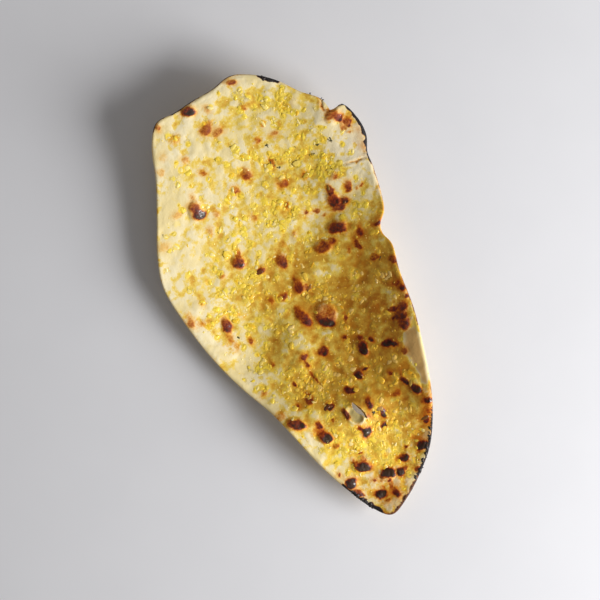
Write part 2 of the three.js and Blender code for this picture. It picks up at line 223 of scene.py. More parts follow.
def middle(x, y):
    """Height of the sheet's middle layer. The distance out from the belly, as a share of the reach on
    that side, is raised to the bowl's power; past the reach the sheet bends down again; round swells
    are added."""
    dx, dy = x - BELLY_X, y - BELLY_Y
    side, end = (ease(-SIDE_BLEND, SIDE_BLEND, d) for d in (dx, dy))
    reach_x = REACH_LEFT * (1 - side) + REACH_RIGHT * side
    reach_y = REACH_TIP * (1 - end) + REACH_BROAD * end
    out = np.hypot(dx / reach_x, dy / reach_y)
    toward_broad = dy / reach_y / np.maximum(out, 1e-6)
    slack = 1.05 + 1.65 * ease(0.1, 0.75, -toward_broad) - 0.5 * ease(0.1, 0.8, toward_broad)
    bowl = (ramp(out - BELLY_SHARE, 0.07) / 0.78) ** BOWL_POWER
    z = SAG * (bowl - slack * ramp(out - 1, 0.045))
    for sx, sy, radius, height in SWELLS:
        z = z + height * np.exp(-((x - sx) ** 2 + (y - sy) ** 2) / radius**2)
    return z - REST_LEVEL


def half_thickness(distance):
    """Half of the bread's thickness at a distance from the rim: a blunt quarter ellipse that starts at
    0, so the upper and the lower face meet in a round edge."""
    t = np.clip(distance / RIM_ROUNDING, 0, 1)
    return THICKNESS / 2 * (1 - (1 - t) ** RIM_BLUNTNESS) ** (1 / RIM_BLUNTNESS)


print(f"the sheet's middle lies {middle(BELLY_X, BELLY_Y):.1f} mm high at the belly")


# %% [markdown]
# ## Scorch marks and bubbles
# Where a gas bubble touches the hot air first, it browns, then blackens. Each mark is an ellipse with a
# level: 0.3 is tan, 0.6 red-brown and 1 black. The tip, which hangs nearest the fire, has the blackest.
# The larger bubbles also stand up from the sheet, as they do on the solid.

# %% Bubbles and scorch marks
BUBBLES = [  # x, y, half length, half width, turn, height
    (22, -17, 10, 8.5, 70, 2.6), (54, 66, 7, 5, 100, 1.8), (-51, 90, 8, 5.5, 70, 1.8),
    (50, 46, 8, 5, 0, 1.6), (36, 34, 7.5, 5.5, 10, 1.6), (-31, 42, 6, 5, 90, 1.6),
    (8.5, 10, 7, 5, 90, 1.5), (4, -13, 9, 4.5, 115, 1.5), (-54.5, -4, 7, 4, 85, 1.4),
    (42, -51, 6.5, 4, 95, 1.6), (77, -39, 6.5, 5, 90, 1.6), (72, -91, 6, 4.5, 90, 1.5),
    (-25, -92, 8.5, 5, -25, 1.7), (-6, -109, 6.5, 4.5, -30, 1.6), (14, -138, 6.5, 4.5, -10, 1.6),
    (32, -150, 6, 5, 0, 1.5), (-33.5, 164, 5.5, 5, 0, 1.5), (72, 128, 7, 5, 35, 1.6),
]
SCORCHES = [  # x, y, half length, half width, turn, level
    # broad end
    (-33.5, 164.5, 4.5, 4, 0, 0.94), (4, 176, 4.5, 2.5, -5, 0.7), (-19, 162, 3, 2.5, 0, 0.42),
    (-25, 147, 5, 4, 20, 0.65), (-20.5, 151.5, 2.5, 1.8, 45, 0.42), (-17, 142.5, 4.5, 3.6, 0, 0.56),
    (-51, 147, 5, 3.5, 0, 0.3), (-60, 159, 2.5, 3, 0, 0.56), (8.5, 155, 2.5, 2.5, 0, 0.52),
    (-63, 137, 3, 2.5, 0, 0.25), (-47, 130, 3, 2.5, 0, 0.45), (-68, 126.5, 3, 2.5, 0, 0.34),
    (25, 129, 3, 2.2, 0, 0.5), (18, 138, 2.2, 2.5, 0, 0.52), (11, 127, 2, 3, 0, 0.5),
    (-37, 116.5, 2.5, 3, 0, 0.55), (-5, 106, 4, 4.8, 0, 0.66), (17, 108, 2.5, 4.5, 0, 0.56),
    (-17, 96, 2.8, 3, 0, 0.6), (20, 91, 4.5, 3.2, 0, 0.6), (-50, 100, 1.5, 2.5, 0, 0.42),
    (-66, 91, 3.5, 2.5, 0, 0.36), (38, 91, 2, 2.5, 0, 0.64),
    # the ear at the upper right and the fold below it
    (70.5, 129.5, 5, 3.6, 10, 0.62), (75.5, 125.5, 4, 3, -45, 0.8), (77, 119, 2, 3.6, 10, 0.52),
    (66, 139, 1.8, 5, 8, 0.4), (81.5, 120.8, 3.2, 3.2, 0, 0.7), (80, 113.5, 2, 1, 0, 0.55),
    (80, 90.3, 4, 0.8, 0, 0.5),
    # above the belly
    (-51.5, 92.5, 5, 4.2, 0, 0.68), (-49.5, 87, 4.6, 4.6, 0, 0.97), (-37, 84, 2.8, 4.5, 0, 0.45),
    (-83, 69.5, 4, 3, 0, 0.3), (-45, 71.5, 2, 2.5, 0, 0.4), (-9, 71, 2.2, 3, 0, 0.48),
    (18.5, 73, 2.2, 3, 0, 0.55), (53.5, 74, 3, 4.4, 0, 0.82), (53.5, 66, 4.6, 5, 0, 0.8),
    (61.5, 63.5, 4, 3, 0, 0.88), (56, 59.5, 6, 2.6, 0, 0.82), (68, 73, 3.2, 4, 0, 0.75),
    (74, 71, 1.2, 1.2, 0, 0.57), (77, 71.5, 1.5, 1.2, 0, 0.62), (60, 84, 2.5, 2, 0, 0.6),
    (32, 62.5, 2, 1.7, 0, 0.78), (39, 62, 1.8, 2, 0, 0.66), (44, 57, 1.5, 1.2, 0, 0.56),
    # the belly
    (50, 46, 7, 4.4, 0, 0.87), (54, 42.5, 3.4, 3, 0, 0.85), (17, 50.5, 1.8, 1.8, 0, 0.5),
    (6, 44, 2.2, 1.8, 0, 0.3), (35, 34, 6, 4.4, 0, 0.71), (43.5, 36.5, 3.4, 2.8, 20, 0.66),
    (66.5, 38, 2.5, 4, 0, 0.7), (62.5, 28, 1.8, 4.2, 0, 0.7), (54.5, 26, 1.8, 2, 0, 0.56),
    (81, 39, 3, 2, 0, 0.88), (-31, 41.5, 5, 5, 0, 0.8), (-29.5, 47.5, 2.2, 4, -15, 0.6),
    (0.5, 32.5, 4.4, 5.8, 0, 0.78), (2, 39.5, 2.2, 2.4, 0, 0.35), (-15.5, 31, 3.8, 2.4, 25, 0.82),
    (-6.5, 37.5, 1.5, 1.5, 0, 0.32), (-46.5, 35.5, 2, 2, 0, 0.48), (-67, 19.5, 1.8, 2.5, 0, 0.4),
    (-80, 8.5, 2.8, 5, 0, 0.55), (-72.5, 3.5, 4, 1.6, -20, 0.35), (8.5, 10, 4, 5.6, 0, 0.76),
    (7, 16, 2, 3.4, 5, 0.5), (14.5, 8, 3, 2.4, -20, 0.76), (-15.5, 5.5, 2.5, 2.8, 0, 0.5),
    (-6, 6, 3.8, 3, -10, 0.66), (72, 15, 3, 3, 0, 0.6), (84, 9, 3, 3.6, 0, 0.7),
    (-43.5, 3.5, 1.5, 1.5, 0, 0.35), (-39.5, 1, 1.5, 1.5, 0, 0.3),
    # toward the tip
    (-54.5, -3, 3.5, 6, 0, 0.8), (-54, -12, 2.3, 5, 0, 0.42), (-52, -20, 2, 4, 15, 0.4),
    (-39.5, -19.5, 2, 3, 0, 0.6), (4, -13, 9.2, 4, -63, 0.75), (22, -17, 8.5, 10, 0, 0.58),
    (20.5, -23, 6.5, 4.2, -15, 0.97), (16.5, -19, 3, 4.5, 20, 0.8), (36.5, -23.5, 1.5, 3, 0, 0.66),
    (31, -38, 1.8, 2, 0, 0.8), (42, -51, 3.6, 5.5, 0, 0.98), (42, -42.5, 2, 2.6, 0, 0.7),
    (49.5, -46, 2, 2.2, 0, 0.88), (61.5, -52.5, 4.4, 3, 0, 0.95), (66, -54, 2, 2.4, 0, 0.9),
    (12, -44, 4.2, 4, 0, 0.87), (-4, -44, 2.8, 2.8, 0, 0.8), (-2.5, -49, 1.5, 3, 15, 0.8),
    (-0.5, -60.5, 8, 0.9, -72, 0.6), (-29, -41.5, 2, 2, 0, 0.52), (81, -29, 4, 4.6, -20, 0.76),
    (72.5, -28.5, 5.2, 2.4, -5, 0.76), (77.5, -34, 4.8, 4.4, 20, 0.74), (78, -41.5, 5, 5.4, 10, 0.82),
    (72, -34.5, 1.2, 1, 0, 0.95), (84.5, -14.5, 2.2, 2.8, 0, 0.85), (82, -9, 3, 2, 0, 0.6),
    (86, -22, 2, 1.6, 0, 0.8), (33, -69.5, 3.6, 3.6, 0, 0.93), (39, -66.5, 2.1, 1.6, 0, 0.84),
    (23, -79, 4.2, 2.5, -20, 0.88), (-9.5, -76, 2.8, 5, 0, 0.72), (-19, -79, 1.8, 2, 0, 0.7),
    (4, -87, 3.2, 2.8, 0, 0.9), (-35, -82.5, 3.5, 2.5, 0, 0.42), (-24.5, -92, 7.5, 3.8, -28, 0.9),
    (14.2, -95.5, 1.9, 5, 0, 0.84), (15.5, -99.3, 1.8, 1.4, 0, 0.6), (33.7, -92.8, 3.2, 4.4, 0, 0.82),
    (31.7, -101.5, 1.5, 2.4, 20, 0.5), (65.5, -84.5, 3.6, 2.2, -55, 0.9),
    (72, -91.5, 4.8, 2.8, -50, 0.96), (64.5, -78.5, 1.2, 2.4, 0, 0.6), (56, -75, 2, 1.7, 0, 0.74),
    (72, -61, 2.5, 3.5, 0, 0.65), (-16.5, -62, 1.7, 2.1, 0, 0.8), (-42, -62, 3, 2.5, 0, 0.48),
    (57, -91, 3.5, 2.5, 0, 0.55), (-7.5, -98, 2.5, 3.6, 0, 0.82), (4, -97, 1.2, 1.5, 0, 0.6),
    # the tip
    (79, -103, 3.6, 2.6, 0, 0.95), (-4.6, -109.4, 5.5, 3.8, -30, 1.05), (-9, -104, 3, 2.6, 0, 0.6),
    (0, -117.5, 2.5, 2, 0, 0.6), (42, -103.2, 2.5, 4.4, 0, 0.97), (40, -112.5, 2, 2, 0, 0.96),
    (25.5, -114.2, 4.3, 3.2, 0, 1.12), (22.3, -111, 1.8, 2.6, 25, 0.86), (15.5, -128, 1.8, 1, 0, 0.74),
    (15, -139.2, 6.6, 3.4, -12, 1.08), (10.5, -134.6, 2.2, 3.6, 10, 0.62),
    (16.8, -133.4, 2, 4, -8, 0.56), (48, -141.5, 4.4, 2.6, 0, 0.95), (3, -148.2, 4.6, 3.3, 20, 1.02),
    (31.8, -149.3, 5.3, 3.6, -5, 1.08), (42, -151.2, 3.4, 3.3, 0, 1.03), (46, -149.2, 3, 2, 20, 0.62),
    (20.6, -151, 1.8, 1.4, 0, 0.74), (22, -163.3, 4.2, 2.8, -15, 1.03), (25, -158.6, 1.3, 1.5, 0, 0.5),
    (26, -154, 1.3, 0.9, 0, 0.62), (32, -155.4, 1.5, 1.3, 0, 0.78), (5.5, -157, 2.8, 5.4, 40, 0.8),
    (35, -136, 1.8, 1, 0, 0.5), (34.8, -165, 2.7, 4.6, 12, 0.8), (33, -158, 1.6, 4, 0, 0.5),
    (26, -169.5, 2.5, 1.5, 0, 0.55), (64, -136, 4.8, 4.1, 0, 1.03), (73, -117, 3, 3, 0, 0.82),
    (76, -110, 2.5, 3, 0, 0.5), (56, -151.5, 2.5, 2, 0, 0.76), (52, -134, 1.7, 1.4, 0, 0.74),
    (-4.5, -139, 1.4, 1.4, 0, 0.82), (57, -145, 1.2, 1.2, 0, 0.74), (63, -130.5, 4, 2.6, 0, 0.4),
]
print(f"{len(SCORCHES)} scorch marks and {len(BUBBLES)} raised bubbles")


HALO_REACH = 2.2            # how far a mark's brown border fades outwards


def near_marks(x, y, marks, reach, margin=0):
    """For each mark in turn: the places nearer than a multiple of its size plus a margin, how far out
    they are from its ellipse, and the mark itself."""
    for mark in marks:
        near = np.flatnonzero(np.hypot(x - mark[0], y - mark[1]) < reach * max(mark[2:4]) + margin)
        yield near, ellipse_norm(x[near], y[near], *mark[:5]), mark


def warped(x, y):
    """A place shifted by slow noise of about a millimetre, which makes round shapes irregular."""
    shift_x = 1.1 * noise(x, y, 5.5, 13) + 0.55 * noise(x, y, 2.3, 14)
    shift_y = 1.1 * noise(x, y, 5.5, 15) + 0.55 * noise(x, y, 2.3, 16)
    return x + shift_x, y + shift_y


def scorch_level(x, y):
    """How scorched each place is. For every mark, its level times the larger of two terms: an ease from
    the edge to the core of its ellipse, mottled and darker toward the tip, and half of exp(-(distance
    beyond the edge / reach) squared), uneven by noise. The strongest mark counts."""
    x0, y0 = x, y
    x, y = warped(x, y)
    uneven = 0.55 * np.clip(0.62 + 0.75 * noise(x0, y0, 4.5, 11), 0, 1)
    mottle = 1 + 0.1 * noise(x0, y0, 2.2, 17) + 0.07 * noise(x0, y0, 1.1, 18)
    level = np.zeros_like(x)
    for near, out, mark in near_marks(x, y, SCORCHES, 1.4, 5):
        cx, cy, half_length, half_width, _, strength = mark
        beyond = np.maximum(out - 1, 0) * math.sqrt(half_length * half_width)
        toward_tip = (0.45 * (x[near] - cx) - 0.9 * (y[near] - cy)) / max(half_length, half_width)
        core = ease(1.42, 0.7, out) * mottle[near] * (1 + 0.24 * np.clip(toward_tip, -1, 1))
        border = uneven[near] * np.exp(-((beyond / HALO_REACH) ** 2))
        level[near] = np.maximum(level[near], strength * np.maximum(core, border))
    return level


# %% [markdown]
# ## The burst bubble
# One bubble near the tip tore open as it baked. Its opening goes right through, beside it lies what is
# left of its lower skin, sunk and thin, and a pale torn lip stands round both.

# %% Burst bubble
TEAR = (25, -95.8, 7.5, 1.9, -60)           # x, y, half length, half width, turn
SUNK_SKIN = (21, -98.4, 7.2, 5.2, -60)
SKIN_DEPTH = 1.5
OPENING_DEPTH = 1.1
LIP_HEIGHT = 0.8
LIP_PLACE, LIP_WIDTH = 1.16, 0.16           # as shares of the ellipses' size


def tear_norms(x, y):
    """How far out a place is from the opening and from the sunk skin, 1 on either edge."""
    return ellipse_norm(x, y, *TEAR), ellipse_norm(x, y, *SUNK_SKIN)


def tear_relief(x, y):
    """Height that the burst bubble adds: down by the skin's depth inside its ellipse, up by a narrow
    ridge just outside both ellipses."""
    opening, skin = tear_norms(x, y)
    edge = np.minimum(opening, skin)
    lip = np.exp(-(((edge - LIP_PLACE) / LIP_WIDTH) ** 2)) * (1 + 0.6 * noise(x, y, 3, 21))
    sunk = SKIN_DEPTH * ease(1.02, 0.6, skin)
    return LIP_HEIGHT * lip - sunk - OPENING_DEPTH * ease(1.15, 0.9, opening)


print(f"the tear is {2 * TEAR[2]:.0f} by {2 * TEAR[3]:.1f} mm")


# %% [markdown]
# ## Relief of the upper face
# Between the scorched bubbles the crust is uneven at three sizes: slow waves as wide as a thumb,
# puckers of a few millimetres, and a fine grain. The blackened skins are wrinkled, a fold crosses below
# the ear, and the burnt stretches of rim are crumbly. The relief is real geometry, and only the finest
# grain is left to the material.

# %% Relief
FOLD_Y = 90.5
FOLD_START = (64, 74)       # the fold deepens between these two places along x, and goes on to the rim
TOP_CLEARANCE = 0.05        # how far the face stays below the top of the solid's box
SMOOTH_DOUGH = [  # x, y, half length, half width, turn, share: places with neither garlic nor butter
    (83.5, -67, 24, 10, 96, 1), (72, -16, 5, 7, 0, 0.45), (-86, 35, 55, 9, 86, 0.85),
    (33, 17, 9, 7, 0, 0.7), (-1, -31, 8, 7, 0, 0.6), (84, 106, 11, 9, 90, 0.9),
    (-48, 160, 22, 8, 8, 0.6), (-66, 118, 30, 7, 78, 0.8), (-60, -34, 8, 5, 60, 0.5),
    (-45, -48, 9, 5, -50, 0.7), (22, -17, 9, 10, 0, 1),
]


def smooth_share(x, y):
    """How bare the dough is at each place, from 0 to 1: the strongest of the smooth patches."""
    share = np.zeros_like(x)
    for *ellipse, strength in SMOOTH_DOUGH:
        share = np.maximum(share, strength * ease(1.3, 0.6, ellipse_norm(x, y, *ellipse)))
    return share


def lip_shade_share(x, y, distance):
    """How much painted shade, a darker beige, lies on the bare dough of the right lip, up to a paler
    strip along the rim.
    """
    *right_lip, _ = SMOOTH_DOUGH[0]
    out = ellipse_norm(x, y, *right_lip) + 0.3 * noise(x, y, 6, 33)
    return ease(1.2, 0.8, out) * ease(0.8, 3.8, distance)


BUBBLE_FOOT = 1.12          # where a bubble's cap meets the sheet, as a share of its ellipse
BLISTER_SHARE = 0.27        # height of a small mark's blister, as a share of its half width


def bubble_relief(x, y):
    """Height of the bubbles: for each, its height times the cap of a ball squeezed to its ellipse,
    eased out at the foot; small marks get a low blister in proportion to their size."""
    z = np.zeros_like(x)
    for near, out, mark in near_marks(x, y, BUBBLES, 1.5):
        cap = mark[5] * np.sqrt(np.clip(1 - (out / BUBBLE_FOOT) ** 2, 0, 1))
        z[near] = np.maximum(z[near], cap * ease(1.2, 0.85, out))
    for near, out, mark in near_marks(x, y, SCORCHES, 1.7):
        low_blister = BLISTER_SHARE * min(mark[2:4]) * mark[5] * ease(1.4, 0.1, out)
        z[near] = np.maximum(z[near], low_blister)
    return z


def waves_and_puckers(x, y):
    """The crust's unevenness in millimetres: waves of 13 and 7 mm, and puckers of 3.6 and 2 mm."""
    waves = 0.42 * noise(x, y, 13, 1) + 0.3 * noise(x, y, 7, 2)
    return waves, 0.17 * noise(x, y, 3.6, 3) + 0.08 * noise(x, y, 2, 4)


def relief(x, y, distance, scorch, bare):
    """Everything that the upper face adds to the drape, in millimetres, fading to nothing at the
    rim."""
    waves, puckers = waves_and_puckers(x, y)
    wrinkles = 0.5 * scorch * (np.abs(noise(x, y, 2.6, 5)) - 0.4)
    fold = np.abs(y - FOLD_Y - 0.7 * noise(x, y, 9, 6))
    banks, groove = np.exp(-(((fold - 2) / 1.2) ** 2)), np.exp(-((fold / 0.6) ** 2))
    fold = (0.25 * banks - 0.6 * groove) * ease(*FOLD_START, x)
    fine = ease(0.3, 3.5, distance) * (waves + (1 - 0.6 * bare) * puckers + wrinkles + fold)
    return fine + bubble_relief(x, y) * ease(0, 2.5, distance)


def top_height(x, y, distance):
    """Height of the upper face: drape, half the thickness, relief, and the burst bubble."""
    scorch, bare = scorch_level(x, y), smooth_share(x, y)
    z = middle(x, y) + half_thickness(distance) + relief(x, y, distance, scorch, bare)
    return np.minimum(z + tear_relief(x, y), HEIGHT - TOP_CLEARANCE)


def lower_height(x, y, distance):
    """Height of the underside: drape less half the thickness, with slow waves, and flat where it
    rests."""
    waves = 0.3 * noise(x, y, 12, 7) + 0.12 * noise(x, y, 4, 8)
    return np.maximum(0, middle(x, y) - half_thickness(distance) + ease(0.5, 5, distance) * waves)


# %% [markdown]
# ## The sheet's mesh
# A grid of points is stretched between the four sides: each point is the blend of the sides across plus
# the blend along, less the blend of the corners, which would count twice. The rows lie closer together
# near the rim, where the edge turns over. The underside is seen less, so its grid has half as many
# rows, and shares the rim's points.

# %% Grid between four sides
CELLS_ACROSS = 190
CELLS_ALONG = 380
CROWDING = 3.0              # how many more rows there are at the rim than in the middle
CROWDED_SHARE = 0.03        # over which share of the width or length that fades


def shares(cells):
    """Shares from 0 to 1, closer near both ends: the running total of 1 + crowding * exp(-distance /
    width) from either end, read off at even steps."""
    t = np.linspace(0, 1, 4001)
    density = 1 + CROWDING * (np.exp(-t / CROWDED_SHARE) + np.exp(-(1 - t) / CROWDED_SHARE))
    total = np.concatenate([[0], np.cumsum((density[1:] + density[:-1]) / 2)])
    return np.interp(np.linspace(0, 1, cells + 1), total / total[-1], t)


def along_run(first, wanted):
    """Points at the wanted shares of arc length along run `first` of the outline, to the next run's
    corner."""
    run = RING[np.arange(RUN_STARTS[first], RUN_STARTS[first + 1] + 1) % len(RING)]
    length = np.concatenate([[0], np.cumsum(np.linalg.norm(np.diff(run, axis=0), axis=1))])
    return np.stack([np.interp(wanted * length[-1], length, run[:, axis]) for axis in (0, 1)], 1)


def sheet_grid(across, along):
    """The grid as an array of rows along, columns across and x, y."""
    left, broad = along_run(0, along), along_run(1, across)
    right, tip = along_run(2, 1 - along), along_run(3, 1 - across)
    u, v = across[None, :, None], along[:, None, None]
    sides = (1 - v) * tip[None] + v * broad[None] + (1 - u) * left[:, None] + u * right[:, None]
    tip_corners = (1 - u) * (1 - v) * tip[0] + u * (1 - v) * tip[-1]
    return sides - (tip_corners + (1 - u) * v * broad[0] + u * v * broad[-1])


GRID = sheet_grid(shares(CELLS_ACROSS), shares(CELLS_ALONG))
GRID_X, GRID_Y = (np.ascontiguousarray(GRID[..., axis]) for axis in (0, 1))
print(f"grid of {GRID.shape[0]} rows and {GRID.shape[1]} columns")


# %% [markdown]
# A mesh is filled from whole arrays. Vertices come as rows of x, y and z in millimetres, faces as rows
# of vertex numbers that run anticlockwise seen from outside, which is what makes them point outwards.


# %% Mesh helper
def make_piece(name, vertices, faces, material=None):
    """An object at the origin with a smoothly shaded mesh of the given vertices, in millimetres, and
    faces."""
    mesh = bpy.data.meshes.new(name)
    mesh.from_pydata((np.asarray(vertices) * MM).tolist(), [], faces)
    mesh.update()
    mesh.polygons.foreach_set("use_smooth", [True] * len(mesh.polygons))
    piece = bpy.data.objects.new(name, mesh)
    bpy.context.scene.collection.objects.link(piece)
    if material:
        mesh.materials.append(material)
    return piece


def set_attribute(piece, name, values):
    """One number for each vertex, which the materials read by name."""
    attribute = piece.data.attributes.new(name, "FLOAT", "POINT")
    attribute.data.foreach_set("value", np.asarray(values, dtype=np.float32))


# %% Upper face, underside and the seam between them
def sheet_mesh():
    """Vertices and faces of the closed sheet. The underside uses every second row and column; along the
    rim its faces take in the point between, so that no gap is left."""
    rows, columns = GRID_X.shape
    distance = rim_distance(GRID_X, GRID_Y)
    flat = [a.ravel() for a in (GRID_X, GRID_Y, distance)]
    upper = np.stack([flat[0], flat[1], top_height(*flat)], 1)
    number = np.arange(rows * columns).reshape(rows, columns)
    on_rim = np.ones((rows, columns), bool)
    on_rim[1:-1, 1:-1] = False
    on_rim = on_rim.ravel()
    upper[on_rim, 2] = middle(flat[0][on_rim], flat[1][on_rim])
    below = number[::2, ::2].copy()
    inner = below[1:-1, 1:-1].ravel()
    under = [a[inner] for a in flat]
    lower = np.stack([under[0], under[1], lower_height(*under)], 1)
    below[1:-1, 1:-1] = len(upper) + np.arange(len(inner)).reshape(below[1:-1, 1:-1].shape)
    corners = [number[:-1, :-1], number[:-1, 1:], number[1:, 1:], number[1:, :-1]]
    faces = np.stack(corners, -1).reshape(-1, 4).tolist()
    last_row, last_column = below.shape[0] - 2, below.shape[1] - 2
    for j in range(below.shape[0] - 1):
        for i in range(below.shape[1] - 1):
            face = [below[j, i], below[j + 1, i], below[j + 1, i + 1], below[j, i + 1]]
            if j == 0:
                face.insert(4, number[0, 2 * i + 1])
            if i == last_column:
                face.insert(3, number[2 * j + 1, -1])
            if j == last_row:
                face.insert(2, number[-1, 2 * i + 1])
            if i == 0:
                face.insert(1, number[2 * j + 1, 0])
            faces.append([int(k) for k in face])
    return np.concatenate([upper, lower]), faces


naan = make_piece("naan_sheet", *sheet_mesh())
print(f"sheet of {len(naan.data.vertices)} vertices")


# %% [markdown]
# ## Cutting the tear
# The opening is cut with a Boolean modifier and an uneven, slightly leaning plug, and the result is
# kept as the new mesh. A Boolean is right here because the hole's edge follows its own outline and not
# the rows of the grid.

# %% Tear
PLUG_CORNERS = 44
PLUG_LEAN = (-0.3, 0.2)     # how far the tear leans over per millimetre of height, along x and y
PLUG_BOTTOM, PLUG_TOP = -10.0, 60.0
SHARP_ANGLE = 55            # edges that turn by more degrees than this are shaded sharp


def prism_sides(corners):
    """The faces between a lower ring of vertices and an upper one, which follows it in number."""
    k = np.arange(corners)
    following = (k + 1) % corners
    return np.stack([k, following, following + corners, k + corners], 1)


def tear_plug():
    """A closed leaning prism: its outline is the tear's ellipse with three, five and eleven waves round
    it."""
    cx, cy, half_length, half_width, turn = TEAR
    k = np.arange(PLUG_CORNERS)
    angle = FULL_TURN * k / PLUG_CORNERS
    waves = 0.16 * np.sin(3 * angle + 0.7) + 0.08 * np.sin(5 * angle + 2)
    ragged = 1 + waves + 0.03 * np.sin(11 * angle)
    u, v = half_length * ragged * np.cos(angle), half_width * ragged * np.sin(angle)
    c, s = math.cos(math.radians(turn)), math.sin(math.radians(turn))
    ring = np.stack([cx + u * c - v * s, cy + u * s + v * c], 1)
    surface = middle(cx, cy) + THICKNESS / 2
    ends = [(z, ring + (surface - z) * np.array(PLUG_LEAN)) for z in (PLUG_BOTTOM, PLUG_TOP)]
    vertices = np.concatenate([np.c_[outline, np.full(PLUG_CORNERS, z)] for z, outline in ends])
    end_faces = [k[::-1].tolist(), (k + PLUG_CORNERS).tolist()]
    return make_piece("tear_plug", vertices, prism_sides(PLUG_CORNERS).tolist() + end_faces)


def cut(piece, tool):
    """The piece less the tool, with the modifier's result as its mesh and the tool deleted."""
    modifier = piece.modifiers.new("tear", "BOOLEAN")
    modifier.operation, modifier.solver, modifier.object = "DIFFERENCE", "EXACT", tool
    evaluated = piece.evaluated_get(bpy.context.evaluated_depsgraph_get())
    result = bpy.data.meshes.new_from_object(evaluated)
    piece.modifiers.clear()
    piece.data = result
    bpy.data.objects.remove(tool)


cut(naan, tear_plug())
naan.data.set_sharp_from_angle(angle=math.radians(SHARP_ANGLE))
print(f"after the cut {len(naan.data.vertices)} vertices")

# %% [markdown]
# ## Where the chopped garlic lies
# Garlic is chopped with a knife into flat chips, most of them 2 to 5 mm long. They lie thick in some
# places and thin in others. The largest have places of their own; the larger ones, which the solid has
# too, follow the rule of its uneven grid; the fine chips fill in between. Their places are found first,
# because the dough under every chip is yellow with its juice.

# %% Places of the garlic
GARLIC_PATCHES = [  # x, y, radius, share: where the chopped garlic lies thick
    (40, 148, 15, 0.9), (10, 165, 14, 0.35), (28, 110, 14, 0.7), (50, 92, 13, 0.6), (0, 75, 15, 0.6),
    (-25, 72, 10, 0.4), (-45, 55, 13, 0.5), (72, 50, 11, 0.5), (17, 35, 13, 0.8), (-30, 15, 17, 0.9),
    (-22, -12, 13, 0.8), (30, 3, 15, 0.8), (-58, 12, 11, 0.5), (-52, 116, 9, 0.4), (-40, -33, 11, 0.5),
    (-38, -64, 15, 0.8), (-10, -55, 12, 0.7), (27, -48, 10, 0.6), (0, -76, 13, 0.7), (45, -120, 18, 1),
    (12, -108, 14, 0.8), (22, -82, 14, 0.5), (60, -70, 12, 0.5), (60, -20, 20, 0.3),
    (10, 100, 30, 0.15),
]
GARLIC_SLICES = [  # x, y, half length, half width, turn, shade from pale to golden: single large slices
    (47, -77, 4.8, 2.4, -62, 0.5), (63, -64, 2.9, 1.9, 8, 0.15), (49.5, -70.5, 2.9, 1.4, 62, 0.2),
    (42.5, -21, 3, 1.7, 32, 0.25), (26, -5, 3, 1.8, -12, 0.1), (51.5, -106, 2.9, 2.2, 20, 0.15),
    (46, 121, 3.4, 1.8, 70, 0.4), (-48, 119, 3.6, 2.2, 15, 0.5),
]
GARLIC_PITCH, GARLIC_KEPT = 7.4, 0.46       # the grid's square, and the share of its places in use
FINE_PITCH, FINE_KEPT = 2.5, 0.6
BIT_PITCH, BITS_KEPT = 1.9, 0.24
SHORTEST, LONGEST = 4.2, 8                  # of the larger chips
THICK_WITH_BITS = [  # x, y, radius, share
    (60, -10, 34, 0.7), (25, -62, 30, 0.7), (0, -118, 16, 0.8), (28, -128, 18, 0.8), (-5, -60, 20, 0.5),
]
NUMBERS_PER_ROW = 100
CLEAR_OF_RIM = 6            # how far the larger chips stay from the rim, the tear and the open bubble
CLEAR_OF_TEAR = TEAR[2] + 5
CLEAR_OF_BUBBLE = 14
RIM_FADE = (2, 9)           # the small chips set in between these distances from the rim
EDGE_OF_TEAR = 1.3          # and stay out of the tear's ellipses by this share


def round_patches(x, y, patches):
    """Overlapping round patches that fade outwards: 1 less the product of what each leaves bare."""
    bare = np.ones_like(x)
    for px, py, radius, share in patches:
        bare = bare * (1 - share * np.exp(-((x - px) ** 2 + (y - py) ** 2) / radius**2))
    return 1 - bare


def scatter_places(pitch, first):
    """Places of an uneven grid: one in each square of the pitch, off its middle by draws, with its
    number, which runs on from the first along the rows."""
    rows, columns = (np.arange(math.ceil(extent / pitch)) for extent in (LENGTH, WIDTH))
    row, column = (a.ravel() for a in np.meshgrid(rows, columns, indexing="ij"))
    n = NUMBERS_PER_ROW * row + column + first
    x = (column + 0.1 + 0.8 * draw(n, 0)) * pitch - WIDTH / 2
    y = (row + 0.1 + 0.8 * draw(n, 1)) * pitch - LENGTH / 2
    inside = is_inside(x, y)
    return n[inside], x[inside], y[inside]


SHADE = 60                  # the draw that gives a chip its shade


def chip_list(n, x, y, *measures):
    """Chips as nine arrays of one length: number, place, half length, half width, half height, turn,
    how much narrower they are above, and shade. A measure given as one number holds for all of them."""
    return [n, x, y] + [measure + np.zeros(len(n)) for measure in measures]


def slices():
    """The single large slices, thick and steep-sided."""
    x, y, half_length, half_width, turn, shade = np.array(GARLIC_SLICES, float).T.copy()
    n = FIRST_SLICE + np.arange(len(x))
    return chip_list(n, x, y, half_length, half_width, 0.24, np.radians(turn), 0.82, shade)


def larger_chips():
    """The chips that the solid has too: its grid, its draws and its lengths, a little lower."""
    n, x, y = scatter_places(GARLIC_PITCH, FIRST_LARGER)
    keep = draw(n, 2) < GARLIC_KEPT * round_patches(x, y, GARLIC_PATCHES)
    keep &= rim_distance(x, y) > CLEAR_OF_RIM
    for place, clearance in ((TEAR[:2], CLEAR_OF_TEAR), (BUBBLES[0][:2], CLEAR_OF_BUBBLE)):
        keep &= np.hypot(x - place[0], y - place[1]) > clearance
    n, x, y = n[keep], x[keep], y[keep]
    length = SHORTEST + (LONGEST - SHORTEST) * draw(n, 3) ** 2
    width = length * (0.45 + 0.3 * draw(n, 4))
    height, turn = 0.15 + 0.08 * draw(n, 5), FULL_TURN * draw(n, 6)
    return chip_list(n, x, y, length / 2, width / 2, height, turn, 0.76, draw(n, SHADE))


